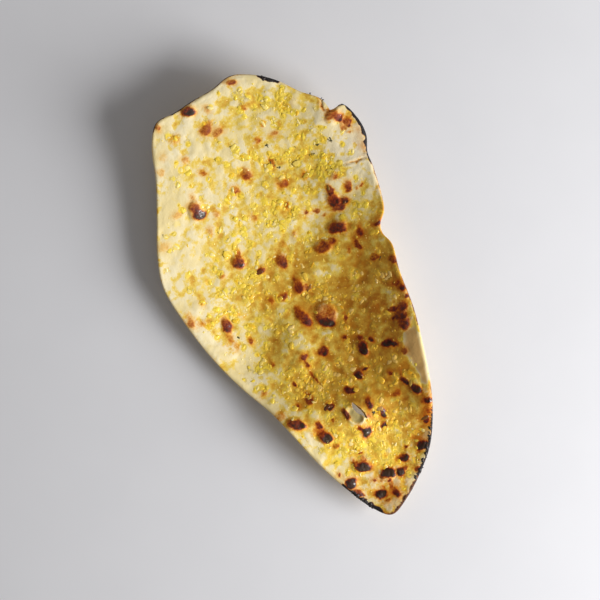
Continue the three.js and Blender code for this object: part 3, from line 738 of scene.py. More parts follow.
def fine_chips():
    """Small chips of a finer grid, in clumps, and none where dough is bare, scorched or torn."""
    n, x, y = scatter_places(FINE_PITCH, FIRST_FINE)
    share = 0.14 + 0.86 * round_patches(x, y, GARLIC_PATCHES)
    share = share * (1 - smooth_share(x, y)) * ease(*RIM_FADE, rim_distance(x, y))
    share = share * (1 - 0.9 * ease(0.35, 0.7, scorch_level(x, y)))
    along, across = 0.8 * x + 0.6 * y, 0.8 * y - 0.6 * x
    clumps = 0.6 * noise(along, across, 12, 41) + 0.8 * noise(along, across, 5.5, 42)
    share = share * ease(-0.35, 0.3, clumps)
    keep = (draw(n, 2) < FINE_KEPT * share) & (np.minimum(*tear_norms(x, y)) > EDGE_OF_TEAR)
    n, x, y = n[keep], x[keep], y[keep]
    length = 2.8 + 3.8 * draw(n, 3) ** 1.2
    width = np.minimum(length, 5) * (0.5 + 0.4 * draw(n, 4))
    height = 0.16 + 0.03 * width * draw(n, 5)
    turn = FULL_TURN * draw(n, 6)
    return chip_list(n, x, y, length / 2, width / 2, height, turn, 0.7, draw(n, SHADE))


def bits():
    """Bits of one or two millimetres between the chips, thick where the sheet hangs low and on the
    tip."""
    n, x, y = scatter_places(BIT_PITCH, FIRST_BIT)
    share = 0.12 + 0.88 * round_patches(x, y, THICK_WITH_BITS + GARLIC_PATCHES)
    share = share * (1 - smooth_share(x, y)) * ease(*RIM_FADE, rim_distance(x, y))
    share = share * (1 - ease(0.3, 0.6, scorch_level(x, y)))
    keep = (draw(n, 2) < BITS_KEPT * share) & (np.minimum(*tear_norms(x, y)) > EDGE_OF_TEAR)
    n, x, y = n[keep], x[keep], y[keep]
    length = 1.1 + 1.3 * draw(n, 3)
    width = length * (0.5 + 0.4 * draw(n, 4))
    height, turn = 0.14 + 0.1 * draw(n, 5), FULL_TURN * draw(n, 6)
    return chip_list(n, x, y, length / 2, width / 2, height, turn, 0.6, 0.6 * draw(n, SHADE))


GARLIC_CHIPS = [np.concatenate(parts) for parts in zip(slices(), larger_chips(), fine_chips(), bits())]
print(f"{len(GARLIC_CHIPS[0])} chips of garlic")

# %% [markdown]
# The juice round the chips is kept as a map in cells of one millimetre: each chip's area is added to
# its cell, the map is blurred along both axes, and any place reads it from the four cells round it.

# %% Map of the garlic's juice
MAP_MARGIN = 10
JUICE_RADIUS = 1.9


def spot_map(x, y, weight, radius):
    """A map of soft spots: the weights dropped into their cells, then blurred by exp(-(distance /
    radius) squared) along the rows and along the columns."""
    cells = np.zeros((LENGTH + 2 * MAP_MARGIN, WIDTH + 2 * MAP_MARGIN))
    row, column = (y + LENGTH / 2 + MAP_MARGIN).astype(int), (x + WIDTH / 2 + MAP_MARGIN).astype(int)
    np.add.at(cells, (row, column), weight)
    reach = np.arange(-math.ceil(3 * radius), math.ceil(3 * radius) + 1)
    kernel = np.exp(-((reach / radius) ** 2))
    kernel /= kernel.sum()
    for axis in (0, 1):
        cells = sum(share * np.roll(cells, shift, axis) for share, shift in zip(kernel, reach))
    return cells


def read_spots(cells, x, y):
    """The map's value at each place: the four nearest cells, weighted by nearness."""
    fx = np.clip(x + WIDTH / 2 + MAP_MARGIN - 0.5, 0, cells.shape[1] - 1.001)
    fy = np.clip(y + LENGTH / 2 + MAP_MARGIN - 0.5, 0, cells.shape[0] - 1.001)
    i, j = fx.astype(int), fy.astype(int)
    u, v = fx - i, fy - j
    lower = cells[j, i] * (1 - u) + cells[j, i + 1] * u
    return lower * (1 - v) + (cells[j + 1, i] * (1 - u) + cells[j + 1, i + 1] * u) * v


_, CHIP_X, CHIP_Y, CHIP_HALF_LENGTH, CHIP_HALF_WIDTH, *_ = GARLIC_CHIPS
GARLIC_SPOTS = spot_map(CHIP_X, CHIP_Y, 4 * CHIP_HALF_LENGTH * CHIP_HALF_WIDTH, JUICE_RADIUS)
print(f"the juice map has {GARLIC_SPOTS.size} cells, up to {GARLIC_SPOTS.max():.2f}")


# %% [markdown]
# ## What each place of the dough looks like
# The material needs to know more than a place's height: how scorched it is, how much butter it soaked
# up, with the painted shade of the shaded valley in the same number, how thick the garlic lies there,
# whether it is burnt rim, bare dough, torn lip or underside, and where the right lip and the torn wall
# get painted shade. Each of these is one number per vertex, worked out from x and y, and stored as a
# named attribute.

# %% Butter with its painted shade, garlic and burnt rim over the sheet
EVEN_BUTTER = 0.17          # share that the whole upper face has, away from the rim
# butter ran together here; the large patches on the right, where the sheet hangs in shade, are partly
# painted shade
BUTTER_AND_SHADE_PATCHES = [  # x, y, radius, share: where the butter ran together
    (0, 55, 48, 0.12), (25, 100, 34, 0.3), (45, 148, 15, 0.5), (15, 26, 26, 0.36), (-24, 16, 26, 0.34),
    (62, -2, 38, 0.9), (45, -25, 30, 0.5), (-22, -25, 20, 0.5), (30, -62, 38, 0.85), (62, -72, 34, 0.9),
    (-6, -62, 30, 0.55), (26, 18, 18, 0.3), (64, -110, 14, 0.5), (0, -8, 16, 0.3), (76, 36, 20, 0.6),
    (-38, 50, 12, 0.3), (44, -112, 22, 0.5), (8, -100, 18, 0.2), (52, -140, 16, 0.3),
    (24, -124, 24, 0.25), (34, -164, 18, 0.3),
]
JUICY = [  # x, y, radius, share: where the garlic's juice ran together
    (-6, -126, 10, 0.9), (28, -126, 16, 0.7), (44, -136, 12, 0.6), (4, -116, 10, 0.6),
    (40, -160, 12, 0.5), (48, -74, 20, 0.45), (68, -104, 12, 0.4), (30, -84, 14, 0.4),
    (22, -146, 14, 0.4),
]
BURNT_EDGES = [  # from x, y to x, y, width of the burnt band, level
    (-3, -152, 4, -160, 1.4, 0.85), (4, -160, 14, -172, 3.2, 1), (14, -172, 24, -180, 0.8, 0.5),
    (24, -181, 42, -173, 2.2, 0.5), (42, -172, 56, -157, 2.6, 0.52), (56, -157, 70, -137, 1.9, 0.8),
    (70, -137, 78, -117, 1.4, 0.65), (79, -115, 84, -95, 0.8, 0.35), (29, 174, 37.5, 168.5, 2.4, 1),
    (-61, 158, -56, 165, 1, 0.6), (-45, 167, -28, 171, 1, 0.7), (-13, 175, 6, 181, 0.7, 0.55),
    (83, 134, 89, 124, 1.3, 0.9), (89, 124, 92.5, 104, 2.3, 1), (91, 97, 90.5, 90, 1.3, 0.7),
    (90, 86, 90, 58, 0.8, 0.35), (88, 5, 89, -40, 0.9, 0.4),
]
TOASTED = [  # x, y, radius, share: where the crust is browned all over
    (30, -160, 20, 0.4), (28, -172, 12, 0.35), (6, -148, 12, 0.25), (72, -120, 14, 0.7),
    (84, -100, 9, 0.7), (60, -98, 8, 0.5), (64, -131, 8, 0.6), (84, -12, 11, 0.5), (82, 38, 16, 0.5),
    (90, 113, 6, 0.5), (90, 99, 8, 0.75), (76, 127, 10, 0.35), (44, -166, 13, 0.4),
    (-12, -104, 9, 0.35), (-58, -20, 9, 0.3), (60, 30, 12, 0.3), (-70, 3, 9, 0.3), (92, 66, 8, 0.4),
    (45, 146, 7, 0.35), (60, -20, 20, 0.35),
]
FLOURY_PATCHES = [  # x, y, radius, share: where dry flour stayed on the crust
    (76, 106, 13, 0.85), (84, 92, 8, 0.6), (62, 106, 8, 0.4), (80, 76, 7, 0.4), (8, -36, 7, 0.4),
]
RIM_TOAST = 0.35            # how browned the last two millimetres before the rim are
PALE_RIM = [(88, -60, 26, 1), (88, 20, 14, 0.6)]  # x, y, radius, share: where the rim isn't browned
HALO_LIFT = 0.45            # how far toward the broad end a halo lies, as a share of its mark's size


def toast_level(x, y):
    """How browned the crust is round and between the marks: the toasted patches, and for every mark a
    halo of twice its size, shifted toward the broad end, that fades outwards."""
    bare = 1 - round_patches(x, y, TOASTED)
    for cx, cy, half_length, half_width, turn, strength in SCORCHES:
        size = max(half_length, half_width)
        near = np.flatnonzero(np.hypot(x - cx, y - cy) < 5 * size)
        halo_x, halo_y = cx - 0.3 * HALO_LIFT * size, cy + HALO_LIFT * size
        out = ellipse_norm(x[near], y[near], halo_x, halo_y, half_length, half_width, turn)
        bare[near] *= 1 - 0.45 * strength * np.exp(-((out / 1.5) ** 2))
    pale = round_patches(x, y, PALE_RIM)
    return 1 - bare * (1 - RIM_TOAST * (1 - pale) * ease(2.4, 0.2, rim_distance(x, y)))


def burnt_edge(x, y, distance):
    """How burnt the rim is: each stretch's level, fading inwards over its width and, raggedly, past its
    ends."""
    level = np.zeros_like(x)
    uneven = 1 + 0.5 * noise(x, y, 4, 31) + 0.3 * noise(x, y, 1.7, 32)
    ragged = noise(x, y, 5, 34)
    for x0, y0, x1, y1, width, strength in BURNT_EDGES:
        run_x, run_y = x1 - x0, y1 - y0
        t = np.clip(((x - x0) * run_x + (y - y0) * run_y) / (run_x**2 + run_y**2), 0, 1)
        away = np.hypot(x - x0 - t * run_x, y - y0 - t * run_y)
        band = strength * ease(1.3, 0.5, distance / (width * uneven))
        level = np.maximum(level, band * ease(width + 5, width + 0.5, away + 3 * ragged))
    return level


def butter_and_shade_level(x, y, distance):
    """How much butter each place took up, with painted shade in the same number where the patches lie
    in the shaded valley on the right: the patches over an even share that ends before the rim, and
    little on bare dough or on the right lip's painted shade."""
    level = 1 - (1 - round_patches(x, y, BUTTER_AND_SHADE_PATCHES)) * (1 - EVEN_BUTTER * ease(2, 22, distance))
    lip_shade = lip_shade_share(x, y, distance)
    return level * (1 - 0.9 * smooth_share(x, y)) * (1 - lip_shade) - 0.3 * lip_shade


LIP_START = (-92, -99)      # the pale lip sets in between these two places along y, toward the tip


def paint(piece):
    """Works out and stores the attributes of the dough at every vertex. A vertex belongs to the upper
    face by an ease over half a millimetre round the sheet's middle layer."""
    at = np.empty(len(piece.data.vertices) * 3, np.float32)
    piece.data.vertices.foreach_get("co", at)
    x, y, z = (at.reshape(-1, 3).astype(float) / MM).T.copy()
    distance = rim_distance(x, y)
    upper = ease(-0.4, 0.1, z - middle(x, y))
    opening, skin = tear_norms(x, y)
    edge = np.minimum(opening, skin)
    bare, lip_shade = smooth_share(x, y), lip_shade_share(x, y, distance)
    juicy = 1.4 * read_spots(GARLIC_SPOTS, x, y) + 0.6 * round_patches(x, y, JUICY)
    waves, puckers = waves_and_puckers(x, y)
    lip_side = ease(*LIP_START, y + 4 * noise(x, y, 3, 22))
    on_upper_face = {
        "scorch": scorch_level(x, y),
        # butter, with painted shade where the sheet hangs in shade on the right
        "butter": butter_and_shade_level(x, y, distance),
        "garlic": juicy * (1 - 0.9 * bare) * (1 - lip_shade),
        "hollow": -(0.5 * waves + 1.6 * puckers),
        "toast": toast_level(x, y),
        "floury": round_patches(x, y, FLOURY_PATCHES),
        # painted shade on the right lip
        "lip_shade": lip_shade,
        "torn_lip": ease(1.0, 1.08, edge) * ease(1.34, 1.16, edge) * lip_side,
        "sunk_skin": ease(1.1, 0.8, skin),
    }
    for name, values in on_upper_face.items():
        set_attribute(piece, name, values * upper)
    under_skin = ease(0.1, -0.6, z - top_height(x, y, distance))
    # painted shade on the tear's inner wall, below the upper face
    set_attribute(piece, "torn_wall_shade", ease(1.12, 0.98, opening) * under_skin)
    set_attribute(piece, "burnt", burnt_edge(x, y, distance))
    set_attribute(piece, "underside", 1 - upper)


paint(naan)
DOUGH_ATTRIBUTES = [a.name for a in naan.data.attributes if a.data_type == "FLOAT"]
print("attributes:", DOUGH_ATTRIBUTES)


# %% [markdown]
# ## Building a material from nodes
# Materials are node trees. One helper adds a node of any kind: it fills each input with a plain value,
# set on the input itself, or links another node's output to it. The others name what is used most: a
# product, a sum, noise of a size in millimetres, an ease, a mix of two colours.


# %% Node helpers
def fill(tree, node, inputs):
    """Sets each named input to a plain value, or links another node's output to it."""
    for name, value in inputs.items():
        if isinstance(value, bpy.types.NodeSocket):
            tree.links.new(value, node.inputs[name])
        else:
            node.inputs[name].default_value = value


def add(tree, kind, inputs, **settings):
    """A node of a kind, with its settings and its inputs filled."""
    made = tree.nodes.new(kind)
    for name, value in settings.items():
        setattr(made, name, value)
    fill(tree, made, inputs)
    return made


def maths(tree, operation, a, b):
    """The output of a Math node."""
    return add(tree, "ShaderNodeMath", {0: a, 1: b}, operation=operation).outputs[0]


def times(tree, a, b):
    """The product a * b."""
    return maths(tree, "MULTIPLY", a, b)


def plus(tree, a, b):
    """The sum a + b."""
    return maths(tree, "ADD", a, b)


def minus(tree, a, b):
    """The difference a - b."""
    return maths(tree, "SUBTRACT", a, b)


def attribute(tree, name):
    """The output that reads one attribute of the mesh."""
    return add(tree, "ShaderNodeAttribute", {}, attribute_name=name).outputs["Fac"]


def noise_at(tree, place, feature, detail=2.0, roughness=0.5):
    """Noise from 0 to 1 with features of a size in millimetres."""
    values = {"Vector": place, "Scale": 1 / (feature * MM), "Detail": detail, "Roughness": roughness}
    return add(tree, "ShaderNodeTexNoise", values).outputs["Fac"]


def band(tree, value, start, end):
    """An ease from 0 at start to 1 at end, as a Map Range node."""
    values = {"Value": value, "From Min": start, "From Max": end}
    return add(tree, "ShaderNodeMapRange", values, interpolation_type="SMOOTHSTEP").outputs["Result"]


def mix(tree, share, a, b, blend="MIX"):
    """The output of a mix of two colours, which are outputs or three numbers. Inputs 0, 6 and 7 of the
    node are its share and its two colours."""
    a, b = ((*colour, 1) if isinstance(colour, tuple) else colour for colour in (a, b))
    inputs = {0: share, 6: a, 7: b}
    return add(tree, "ShaderNodeMix", inputs, data_type="RGBA", blend_type=blend).outputs[2]


def covered(tree, colour, value, covers):
    """A colour covered by others in turn, each of which sets in as a value rises from a start to an
    end."""
    for start, end, cover in covers:
        colour = mix(tree, band(tree, value, start, end), colour, cover)
    return colour


def varied(tree, value, *noises):
    """A value shifted by noises about their middles: + amount * (noise - 0.5) for each noise and its
    amount."""
    for wobble, amount in noises:
        value = plus(tree, value, times(tree, minus(tree, wobble, 0.5), amount))
    return value


def bumped(tree, strength, depth, height):
    """The surface's direction, tilted by a height of a depth in millimetres."""
    inputs = {"Strength": strength, "Distance": depth * MM, "Height": height}
    return add(tree, "ShaderNodeBump", inputs).outputs["Normal"]


def new_material(name):
    """A material, its tree, the tree's Principled BSDF, and the output that gives a place on the
    object."""
    material = bpy.data.materials.new(name)
    material.use_nodes = True
    tree = material.node_tree
    place = add(tree, "ShaderNodeTexCoord", {}).outputs["Object"]
    return material, tree, tree.nodes["Principled BSDF"], place


# %% [markdown]
# ## The film of butter
# Butter lies on the dough and the garlic alike, in droplets and smears that catch the light. It is one
# node group with a droplet size and an amount going in, and a mask and a height coming out. Each
# material feeds them to its own coat and bump.


# %% Butter film group
def butter_film_group():
    """A group: noise at the droplets' size, less a level that sinks with the amount. The film lies
    where that is above 0, and its height is what stands above 0."""
    group = bpy.data.node_groups.new("butter_film", "ShaderNodeTree")
    for side, names in (("INPUT", ("Droplet size", "Amount")), ("OUTPUT", ("Film", "Height"))):
        for name in names:
            group.interface.new_socket(name, in_out=side, socket_type="NodeSocketFloat")
    inputs = group.nodes.new("NodeGroupInput")
    outputs = group.nodes.new("NodeGroupOutput")
    place = add(group, "ShaderNodeTexCoord", {}).outputs["Object"]
    scale = maths(group, "DIVIDE", 1 / MM, inputs.outputs["Droplet size"])
    drops = add(group, "ShaderNodeTexNoise", {"Vector": place, "Scale": scale, "Detail": 3.0})
    level = minus(group, 0.78, times(group, inputs.outputs["Amount"], 0.45))
    above = minus(group, drops.outputs["Fac"], level)
    group.links.new(band(group, above, -0.05, 0.06), outputs.inputs["Film"])
    group.links.new(maths(group, "MAXIMUM", above, 0.0), outputs.inputs["Height"])
    return group


BUTTER_FILM = butter_film_group()
BUTTER_IOR = 1.9            # above real butter's 1.46, so that its glints show in soft light
print("butter film:", [socket.name for socket in BUTTER_FILM.interface.items_tree])


def butter_film(tree, droplet_size, amount):
    """The film's mask and height, for droplets of a size in millimetres."""
    inputs = {"Droplet size": droplet_size, "Amount": amount}
    film = add(tree, "ShaderNodeGroup", inputs, node_tree=BUTTER_FILM)
    return film.outputs["Film"], film.outputs["Height"]


# %% [markdown]
# ## Baked dough
# From the bottom up: cream crust that varies over two fingers' width, with painted shade in a darker
# beige on the right lip; golden where butter soaked in, and deep gold where the sheet hangs in shade,
# which is partly painted shade; yellow where the garlic's juice ran and where bits of it fried soft
# into lumps, with painted shade in the seams round the lumps; dark brown painted shade on the torn
# wall; browned in rings round each scorch, black on the burnt rim, with a grey-blue painted sheen
# partly in the blackest scorch. Every border is broken up by noise, because baking leaves no clean
# line. Scorched skin is glossy, bare dough is matt.

# %% Dough material
CREAM = (0.86, 0.70, 0.34)
PALE_CRUST = (0.90, 0.78, 0.49)
BUTTER_YELLOW = (0.85, 0.61, 0.10)
# the two golds are butter's colour, made deeper in part as painted shade where the sheet hangs in shade
BUTTER_GOLD_AND_SHADE = (0.68, 0.365, 0.034)
DEEP_GOLD_AND_SHADE = (0.52, 0.205, 0.010)
GARLIC_JUICE = (0.95, 0.69, 0.065)
GOLDEN_JUICE = (0.97, 0.61, 0.048)
# painted shade: the right lip lies in shade, and this darker beige stands for it
LIP_SHADE_BEIGE = (0.64, 0.385, 0.13)
FLOURY = (0.84, 0.74, 0.54)
SOFT_LUMP = (0.96, 0.73, 0.06)
GOLDEN_LUMP = (0.98, 0.65, 0.048)
# painted shade in the seams round the soft lumps of garlic
LUMP_SEAM_SHADE = (0.54, 0.38, 0.04)
DRY_ROUGHNESS, BUTTERED_ROUGHNESS = 0.62, 0.36
LUMP_CELL = 6.8             # how wide a cell that may hold a lump is
LUMP_WOBBLE = 3             # feature size of the noise that bends the cells' walls
LUMP_PUSH = 7               # how far that noise's whole range moves a wall
TORN_CRUMB = (0.84, 0.72, 0.42)
SUNK_OLIVE = (0.56, 0.44, 0.17)
# painted shade: the tear's inner wall lies in shade, and this dark brown stands for it
TORN_WALL_SHADE = (0.17, 0.10, 0.05)
UNDER_CRUST = (0.80, 0.62, 0.34)
UNDER_TOAST = (0.45, 0.22, 0.07)
RIM_BROWN = (0.24, 0.08, 0.02)
CHAR = (0.012, 0.009, 0.010)
TOAST_TINT = (0.87, 0.53, 0.26)
SCORCH_TINTS_AND_SHEEN = [  # scorch level, tint that darkens the crust's own colour
    (0.0, (1, 1, 1)), (0.3, (0.97, 0.74, 0.43)), (0.5, (0.75, 0.385, 0.12)),
    (0.64, (0.49, 0.165, 0.035)), (0.8, (0.24, 0.046, 0.022)), (0.94, (0.075, 0.016, 0.014)),
    # the last tint, grey-blue, is partly painted sheen: the blue-grey of glints on the blackest char
    (1.0, (0.05, 0.034, 0.045)),
]


def soft_lumps(tree, place, thickness):
    """Lumps of softened garlic in uneven cells: those cells hold one whose own random number is below
    the thickness of the garlic. Gives the lumps' middles and the painted shade of the seams round them."""
    # the place, bent by noise: place + push * (noise - 0.5)
    inputs = {"Vector": place, "Scale": 1 / (LUMP_WOBBLE * MM), "Detail": 3.0}
    at = add(tree, "ShaderNodeTexNoise", inputs).outputs["Color"]
    for operation, inputs in (
        ("SUBTRACT", {1: (0.5, 0.5, 0.5)}), ("SCALE", {3: LUMP_PUSH * MM}), ("ADD", {1: place}),
    ):
        at = add(tree, "ShaderNodeVectorMath", {0: at, **inputs}, operation=operation).outputs[0]
    cells = add(tree, "ShaderNodeTexVoronoi", {"Vector": at, "Scale": 1 / (LUMP_CELL * MM)})
    number = add(tree, "ShaderNodeSeparateColor", {"Color": cells.outputs["Color"]}).outputs["Red"]
    held = band(tree, minus(tree, thickness, number), -0.04, 0.06)
    out = cells.outputs["Distance"]
    lump = times(tree, held, band(tree, minus(tree, 0.5, out), 0, 0.2))
    seam_shade = times(tree, band(tree, out, 0.3, 0.46), band(tree, minus(tree, 0.72, out), 0, 0.2))
    return lump, times(tree, held, seam_shade)


def oven_colours(tree, colour, toast, scorch, burnt, grain):
    """A crust's colour browned by its toast, darkened by its scorch through a ramp of tints whose last,
    grey-blue step is partly painted sheen, and blackened along the burnt rim. The grain makes the
    scorches' edges uneven."""
    toasted = mix(tree, 1.0, colour, TOAST_TINT, "MULTIPLY")
    colour = mix(tree, band(tree, toast, 0.1, 0.95), colour, toasted)
    edged = times(tree, minus(tree, grain, 0.5), band(tree, scorch, 0.0, 0.15))
    tints = add(tree, "ShaderNodeValToRGB", {"Fac": plus(tree, scorch, times(tree, edged, 0.5))})
    points = tints.color_ramp.elements
    while len(points) < len(SCORCH_TINTS_AND_SHEEN):
        points.new(0.5)
    for point, (level, tint) in zip(points, SCORCH_TINTS_AND_SHEEN):
        point.position = level
        point.color = (*tint, 1)
    colour = mix(tree, 1.0, colour, tints.outputs["Color"], "MULTIPLY")
    burnt = varied(tree, burnt, (grain, 0.6))
    return covered(tree, colour, burnt, ((0.12, 0.4, RIM_BROWN), (0.38, 0.62, CHAR)))


def dough_material():
    """The tree that colours the dough and sets its gloss and its finest relief."""
    material, tree, shader, place = new_material("baked_dough")
    at = {name: attribute(tree, name) for name in DOUGH_ATTRIBUTES}
    wide = noise_at(tree, place, 26, 3)
    finger = noise_at(tree, place, 9, 4, 0.55)
    clump = noise_at(tree, place, 5.5, 3)
    grain = noise_at(tree, place, 1.6, 4, 0.6)
    speckle = noise_at(tree, place, 0.7, 2, 0.6)
    crust = mix(tree, band(tree, varied(tree, wide, (finger, 0.7)), 0.38, 0.62), CREAM, PALE_CRUST)
    # the right lip's beige is painted shade
    for name, dry_colour in (("floury", FLOURY), ("lip_shade", LIP_SHADE_BEIGE)):
        crust = mix(tree, at[name], crust, dry_colour)

    soaked_and_shaded = varied(tree, at["butter"], (wide, 0.5), (finger, 1.6), (clump, 1.1), (grain, 0.5))
    soaked_and_shaded = plus(tree, soaked_and_shaded, times(tree, at["hollow"], 0.7))
    # the deep golds are partly painted shade
    golds = ((0.08, 0.45, BUTTER_YELLOW), (0.36, 0.78, BUTTER_GOLD_AND_SHADE), (0.72, 1.2, DEEP_GOLD_AND_SHADE))
    colour = covered(tree, crust, soaked_and_shaded, golds)
    juice = varied(tree, at["garlic"], (clump, 1.3), (grain, 0.5))
    lump, seam_shade = soft_lumps(tree, place, times(tree, at["garlic"], 0.62))
    thinned = minus(tree, 0.9, times(tree, band(tree, soaked_and_shaded, 0.4, 0.9), 0.7))
    buttered = band(tree, soaked_and_shaded, 0.2, 0.7)
    for share, dry_colour, buttered_colour in (
        (band(tree, juice, 0.25, 0.85), GARLIC_JUICE, GOLDEN_JUICE), (lump, SOFT_LUMP, GOLDEN_LUMP),
    ):
        yellow = mix(tree, buttered, dry_colour, buttered_colour)
        colour = mix(tree, times(tree, share, thinned), colour, yellow)
    # painted shade in the seams round the lumps
    colour = mix(tree, times(tree, seam_shade, 0.5), colour, LUMP_SEAM_SHADE)

    spots = band(tree, noise_at(tree, place, 11, 4, 0.6), 0.5, 0.72)
    below = mix(tree, times(tree, spots, 0.75), UNDER_CRUST, UNDER_TOAST)
    # the torn wall's dark brown is painted shade
    torn_colours = {"sunk_skin": SUNK_OLIVE, "torn_wall_shade": TORN_WALL_SHADE, "torn_lip": TORN_CRUMB}
    for name, own_colour in {"underside": below, **torn_colours}.items():
        colour = mix(tree, at[name], colour, own_colour)
    toast = varied(tree, at["toast"], (finger, 0.8), (grain, 0.7))
    # no toast under the right lip's painted shade
    toast = minus(tree, toast, times(tree, at["lip_shade"], 0.8))
    colour = oven_colours(tree, colour, toast, at["scorch"], at["burnt"], grain)

    amount = plus(tree, times(tree, at["butter"], 0.35), times(tree, at["garlic"], 0.25))
    amount = minus(tree, amount, times(tree, at["underside"], 2.0))
    film, film_height = butter_film(tree, 3.0, amount)
    skin_gloss = times(tree, band(tree, at["scorch"], 0.5, 0.85), band(tree, grain, 0.5, 0.64))
    inputs = {"Value": soaked_and_shaded, "To Min": DRY_ROUGHNESS, "To Max": BUTTERED_ROUGHNESS}
    matt = add(tree, "ShaderNodeMapRange", inputs).outputs["Result"]
    height = plus(tree, times(tree, grain, -0.55), times(tree, speckle, -0.25))
    height = plus(tree, height, times(tree, film_height, 1.6))
    fill(tree, shader, {
        "Base Color": colour,
        "Coat Weight": maths(tree, "MAXIMUM", times(tree, film, 0.22), times(tree, skin_gloss, 0.6)),
        "Coat Roughness": 0.2,
        "Coat IOR": BUTTER_IOR,
        "Specular IOR Level": 0.3,
        "Roughness": minus(tree, matt, times(tree, skin_gloss, 0.08)),
        "Normal": bumped(tree, 0.55, 0.7, plus(tree, height, times(tree, lump, 0.5))),
    })
    return material


naan.data.materials.clear()
naan.data.materials.append(dough_material())

# %% [markdown]
# ## Chips of garlic
# More than a thousand chips need a light shape: a flat block with eight corners, narrower above, with a
# raised middle, has 30 triangles. All chips are one mesh: the same shape is copied as a block of
# arrays, and each copy has its corners pushed in and out, is scaled, turned, laid along the slope and
# pressed a little into the surface.

# %% One chip
CHIP_CORNERS = 8
CHIP_SHOULDER = 0.12        # height of the upper ring, as a share of the half height


def chip_shape():
    """Vertices and faces of a unit chip: a ring below, a ring above and a peak. Both rings have radius
    1, because each chip's upper ring is narrowed by its own share."""
    k = np.arange(CHIP_CORNERS)
    angle = FULL_TURN * k / CHIP_CORNERS
    ring = np.stack([np.cos(angle), np.sin(angle)], 1)
    below = np.c_[ring, np.full(CHIP_CORNERS, -1.0)]
    above = np.c_[ring, np.full(CHIP_CORNERS, CHIP_SHOULDER)]
    sides = prism_sides(CHIP_CORNERS)
    roof = np.stack([sides[:, 3], sides[:, 2], np.full(CHIP_CORNERS, 2 * CHIP_CORNERS)], 1)
    return np.concatenate([below, above, [[0, 0, 1.0]]]), [k[::-1][None], sides, roof]


CHIP, CHIP_FACES = chip_shape()
CHIP_TRIANGLES = CHIP_CORNERS - 2 + 2 * CHIP_CORNERS + CHIP_CORNERS
print(f"a chip has {len(CHIP)} vertices and {CHIP_TRIANGLES} triangles")


SLOPE_STEP = 1.2


def slope(x, y):
    """How steeply the upper face climbs along x and along y: the difference of the heights a step to
    either side, over two steps."""
    ends = []
    for dx, dy in ((SLOPE_STEP, 0), (-SLOPE_STEP, 0), (0, SLOPE_STEP), (0, -SLOPE_STEP)):
        ends.append(middle(x + dx, y + dy) + bubble_relief(x + dx, y + dy))
    east, west, north, south = ends
    return (east - west) / (2 * SLOPE_STEP), (north - south) / (2 * SLOPE_STEP)


PUSHED, JOGGED, LEANING_X, LEANING_Y = 40, 41, 50, 51    # the draws that give a chip its own form
NUMBERS_PER_CHIP = 97


def strew(name, chips, lift, ragged, lean, material):
    """One mesh of many chips. Each copy has every corner's two rings pushed by one draw and jogged by
    others, its own three sizes, a turn about the vertical, a shear along the surface's slope plus its
    own lean, and its middle at a lift above the surface."""
    n, x, y, half_length, half_width, half_height, turn, narrowing, shade = chips
    count, point = len(n), np.arange(len(CHIP))
    own_numbers = n[:, None] * NUMBERS_PER_CHIP
    push = 1 + ragged * (draw(own_numbers + point % CHIP_CORNERS, PUSHED) - 0.5)
    jog = draw((own_numbers + point)[..., None], JOGGED + np.arange(3)) - 0.5
    shape = CHIP[None] + 0.3 * ragged * jog
    push = push * np.where(CHIP[None, :, 2] > 0, narrowing[:, None], 1)
    u = shape[..., 0] * push * half_length[:, None]
    v = shape[..., 1] * push * half_width[:, None]
    w = shape[..., 2] * half_height[:, None]
    c, s = np.cos(turn)[:, None], np.sin(turn)[:, None]
    dx, dy = u * c - v * s, u * s + v * c
    slope_x, slope_y = slope(x, y)
    lean_x, lean_y = (lean * (draw(n, k) - 0.5) for k in (LEANING_X, LEANING_Y))
    ground = top_height(x, y, rim_distance(x, y)) + lift
    z = ground[:, None] + w + (slope_x + lean_x)[:, None] * dx + (slope_y + lean_y)[:, None] * dy
    vertices = np.stack([x[:, None] + dx, y[:, None] + dy, z], -1).reshape(-1, 3)
    vertices = np.clip(vertices, [low.x, low.y, 0], [high.x, high.y, HEIGHT])
    first = len(CHIP) * np.arange(count)[:, None, None]
    faces = []
    for part in CHIP_FACES:
        faces += (part[None] + first).reshape(-1, part.shape[1]).tolist()
    piece = make_piece(name, vertices, faces, material)
    # the butter level brings the painted shade of the shaded right side to the chips as well
    butter, scorch = butter_and_shade_level(x, y, rim_distance(x, y)), scorch_level(x, y)
    for own_name, values in (("shade", shade), ("butter", butter), ("scorch", scorch)):
        set_attribute(piece, own_name, np.repeat(values, len(CHIP)))
    print(f"{name}: {count} bits, {CHIP_TRIANGLES * count} triangles")
    return piece


# %% [markdown]
# Fried garlic is pale to golden yellow. Each bit has its own shade, given by one number per bit, and
# turns brown where it lies on a scorch. The film of butter makes it glossy.


# %% Garlic material
GARLIC_PALE = (0.95, 0.78, 0.32)
GARLIC_YELLOW = (0.94, 0.69, 0.055)
GARLIC_GOLD = (0.88, 0.53, 0.01)
BUTTER_TINT = (0.97, 0.76, 0.50)
GARLIC_BROWN = (0.17, 0.045, 0.008)


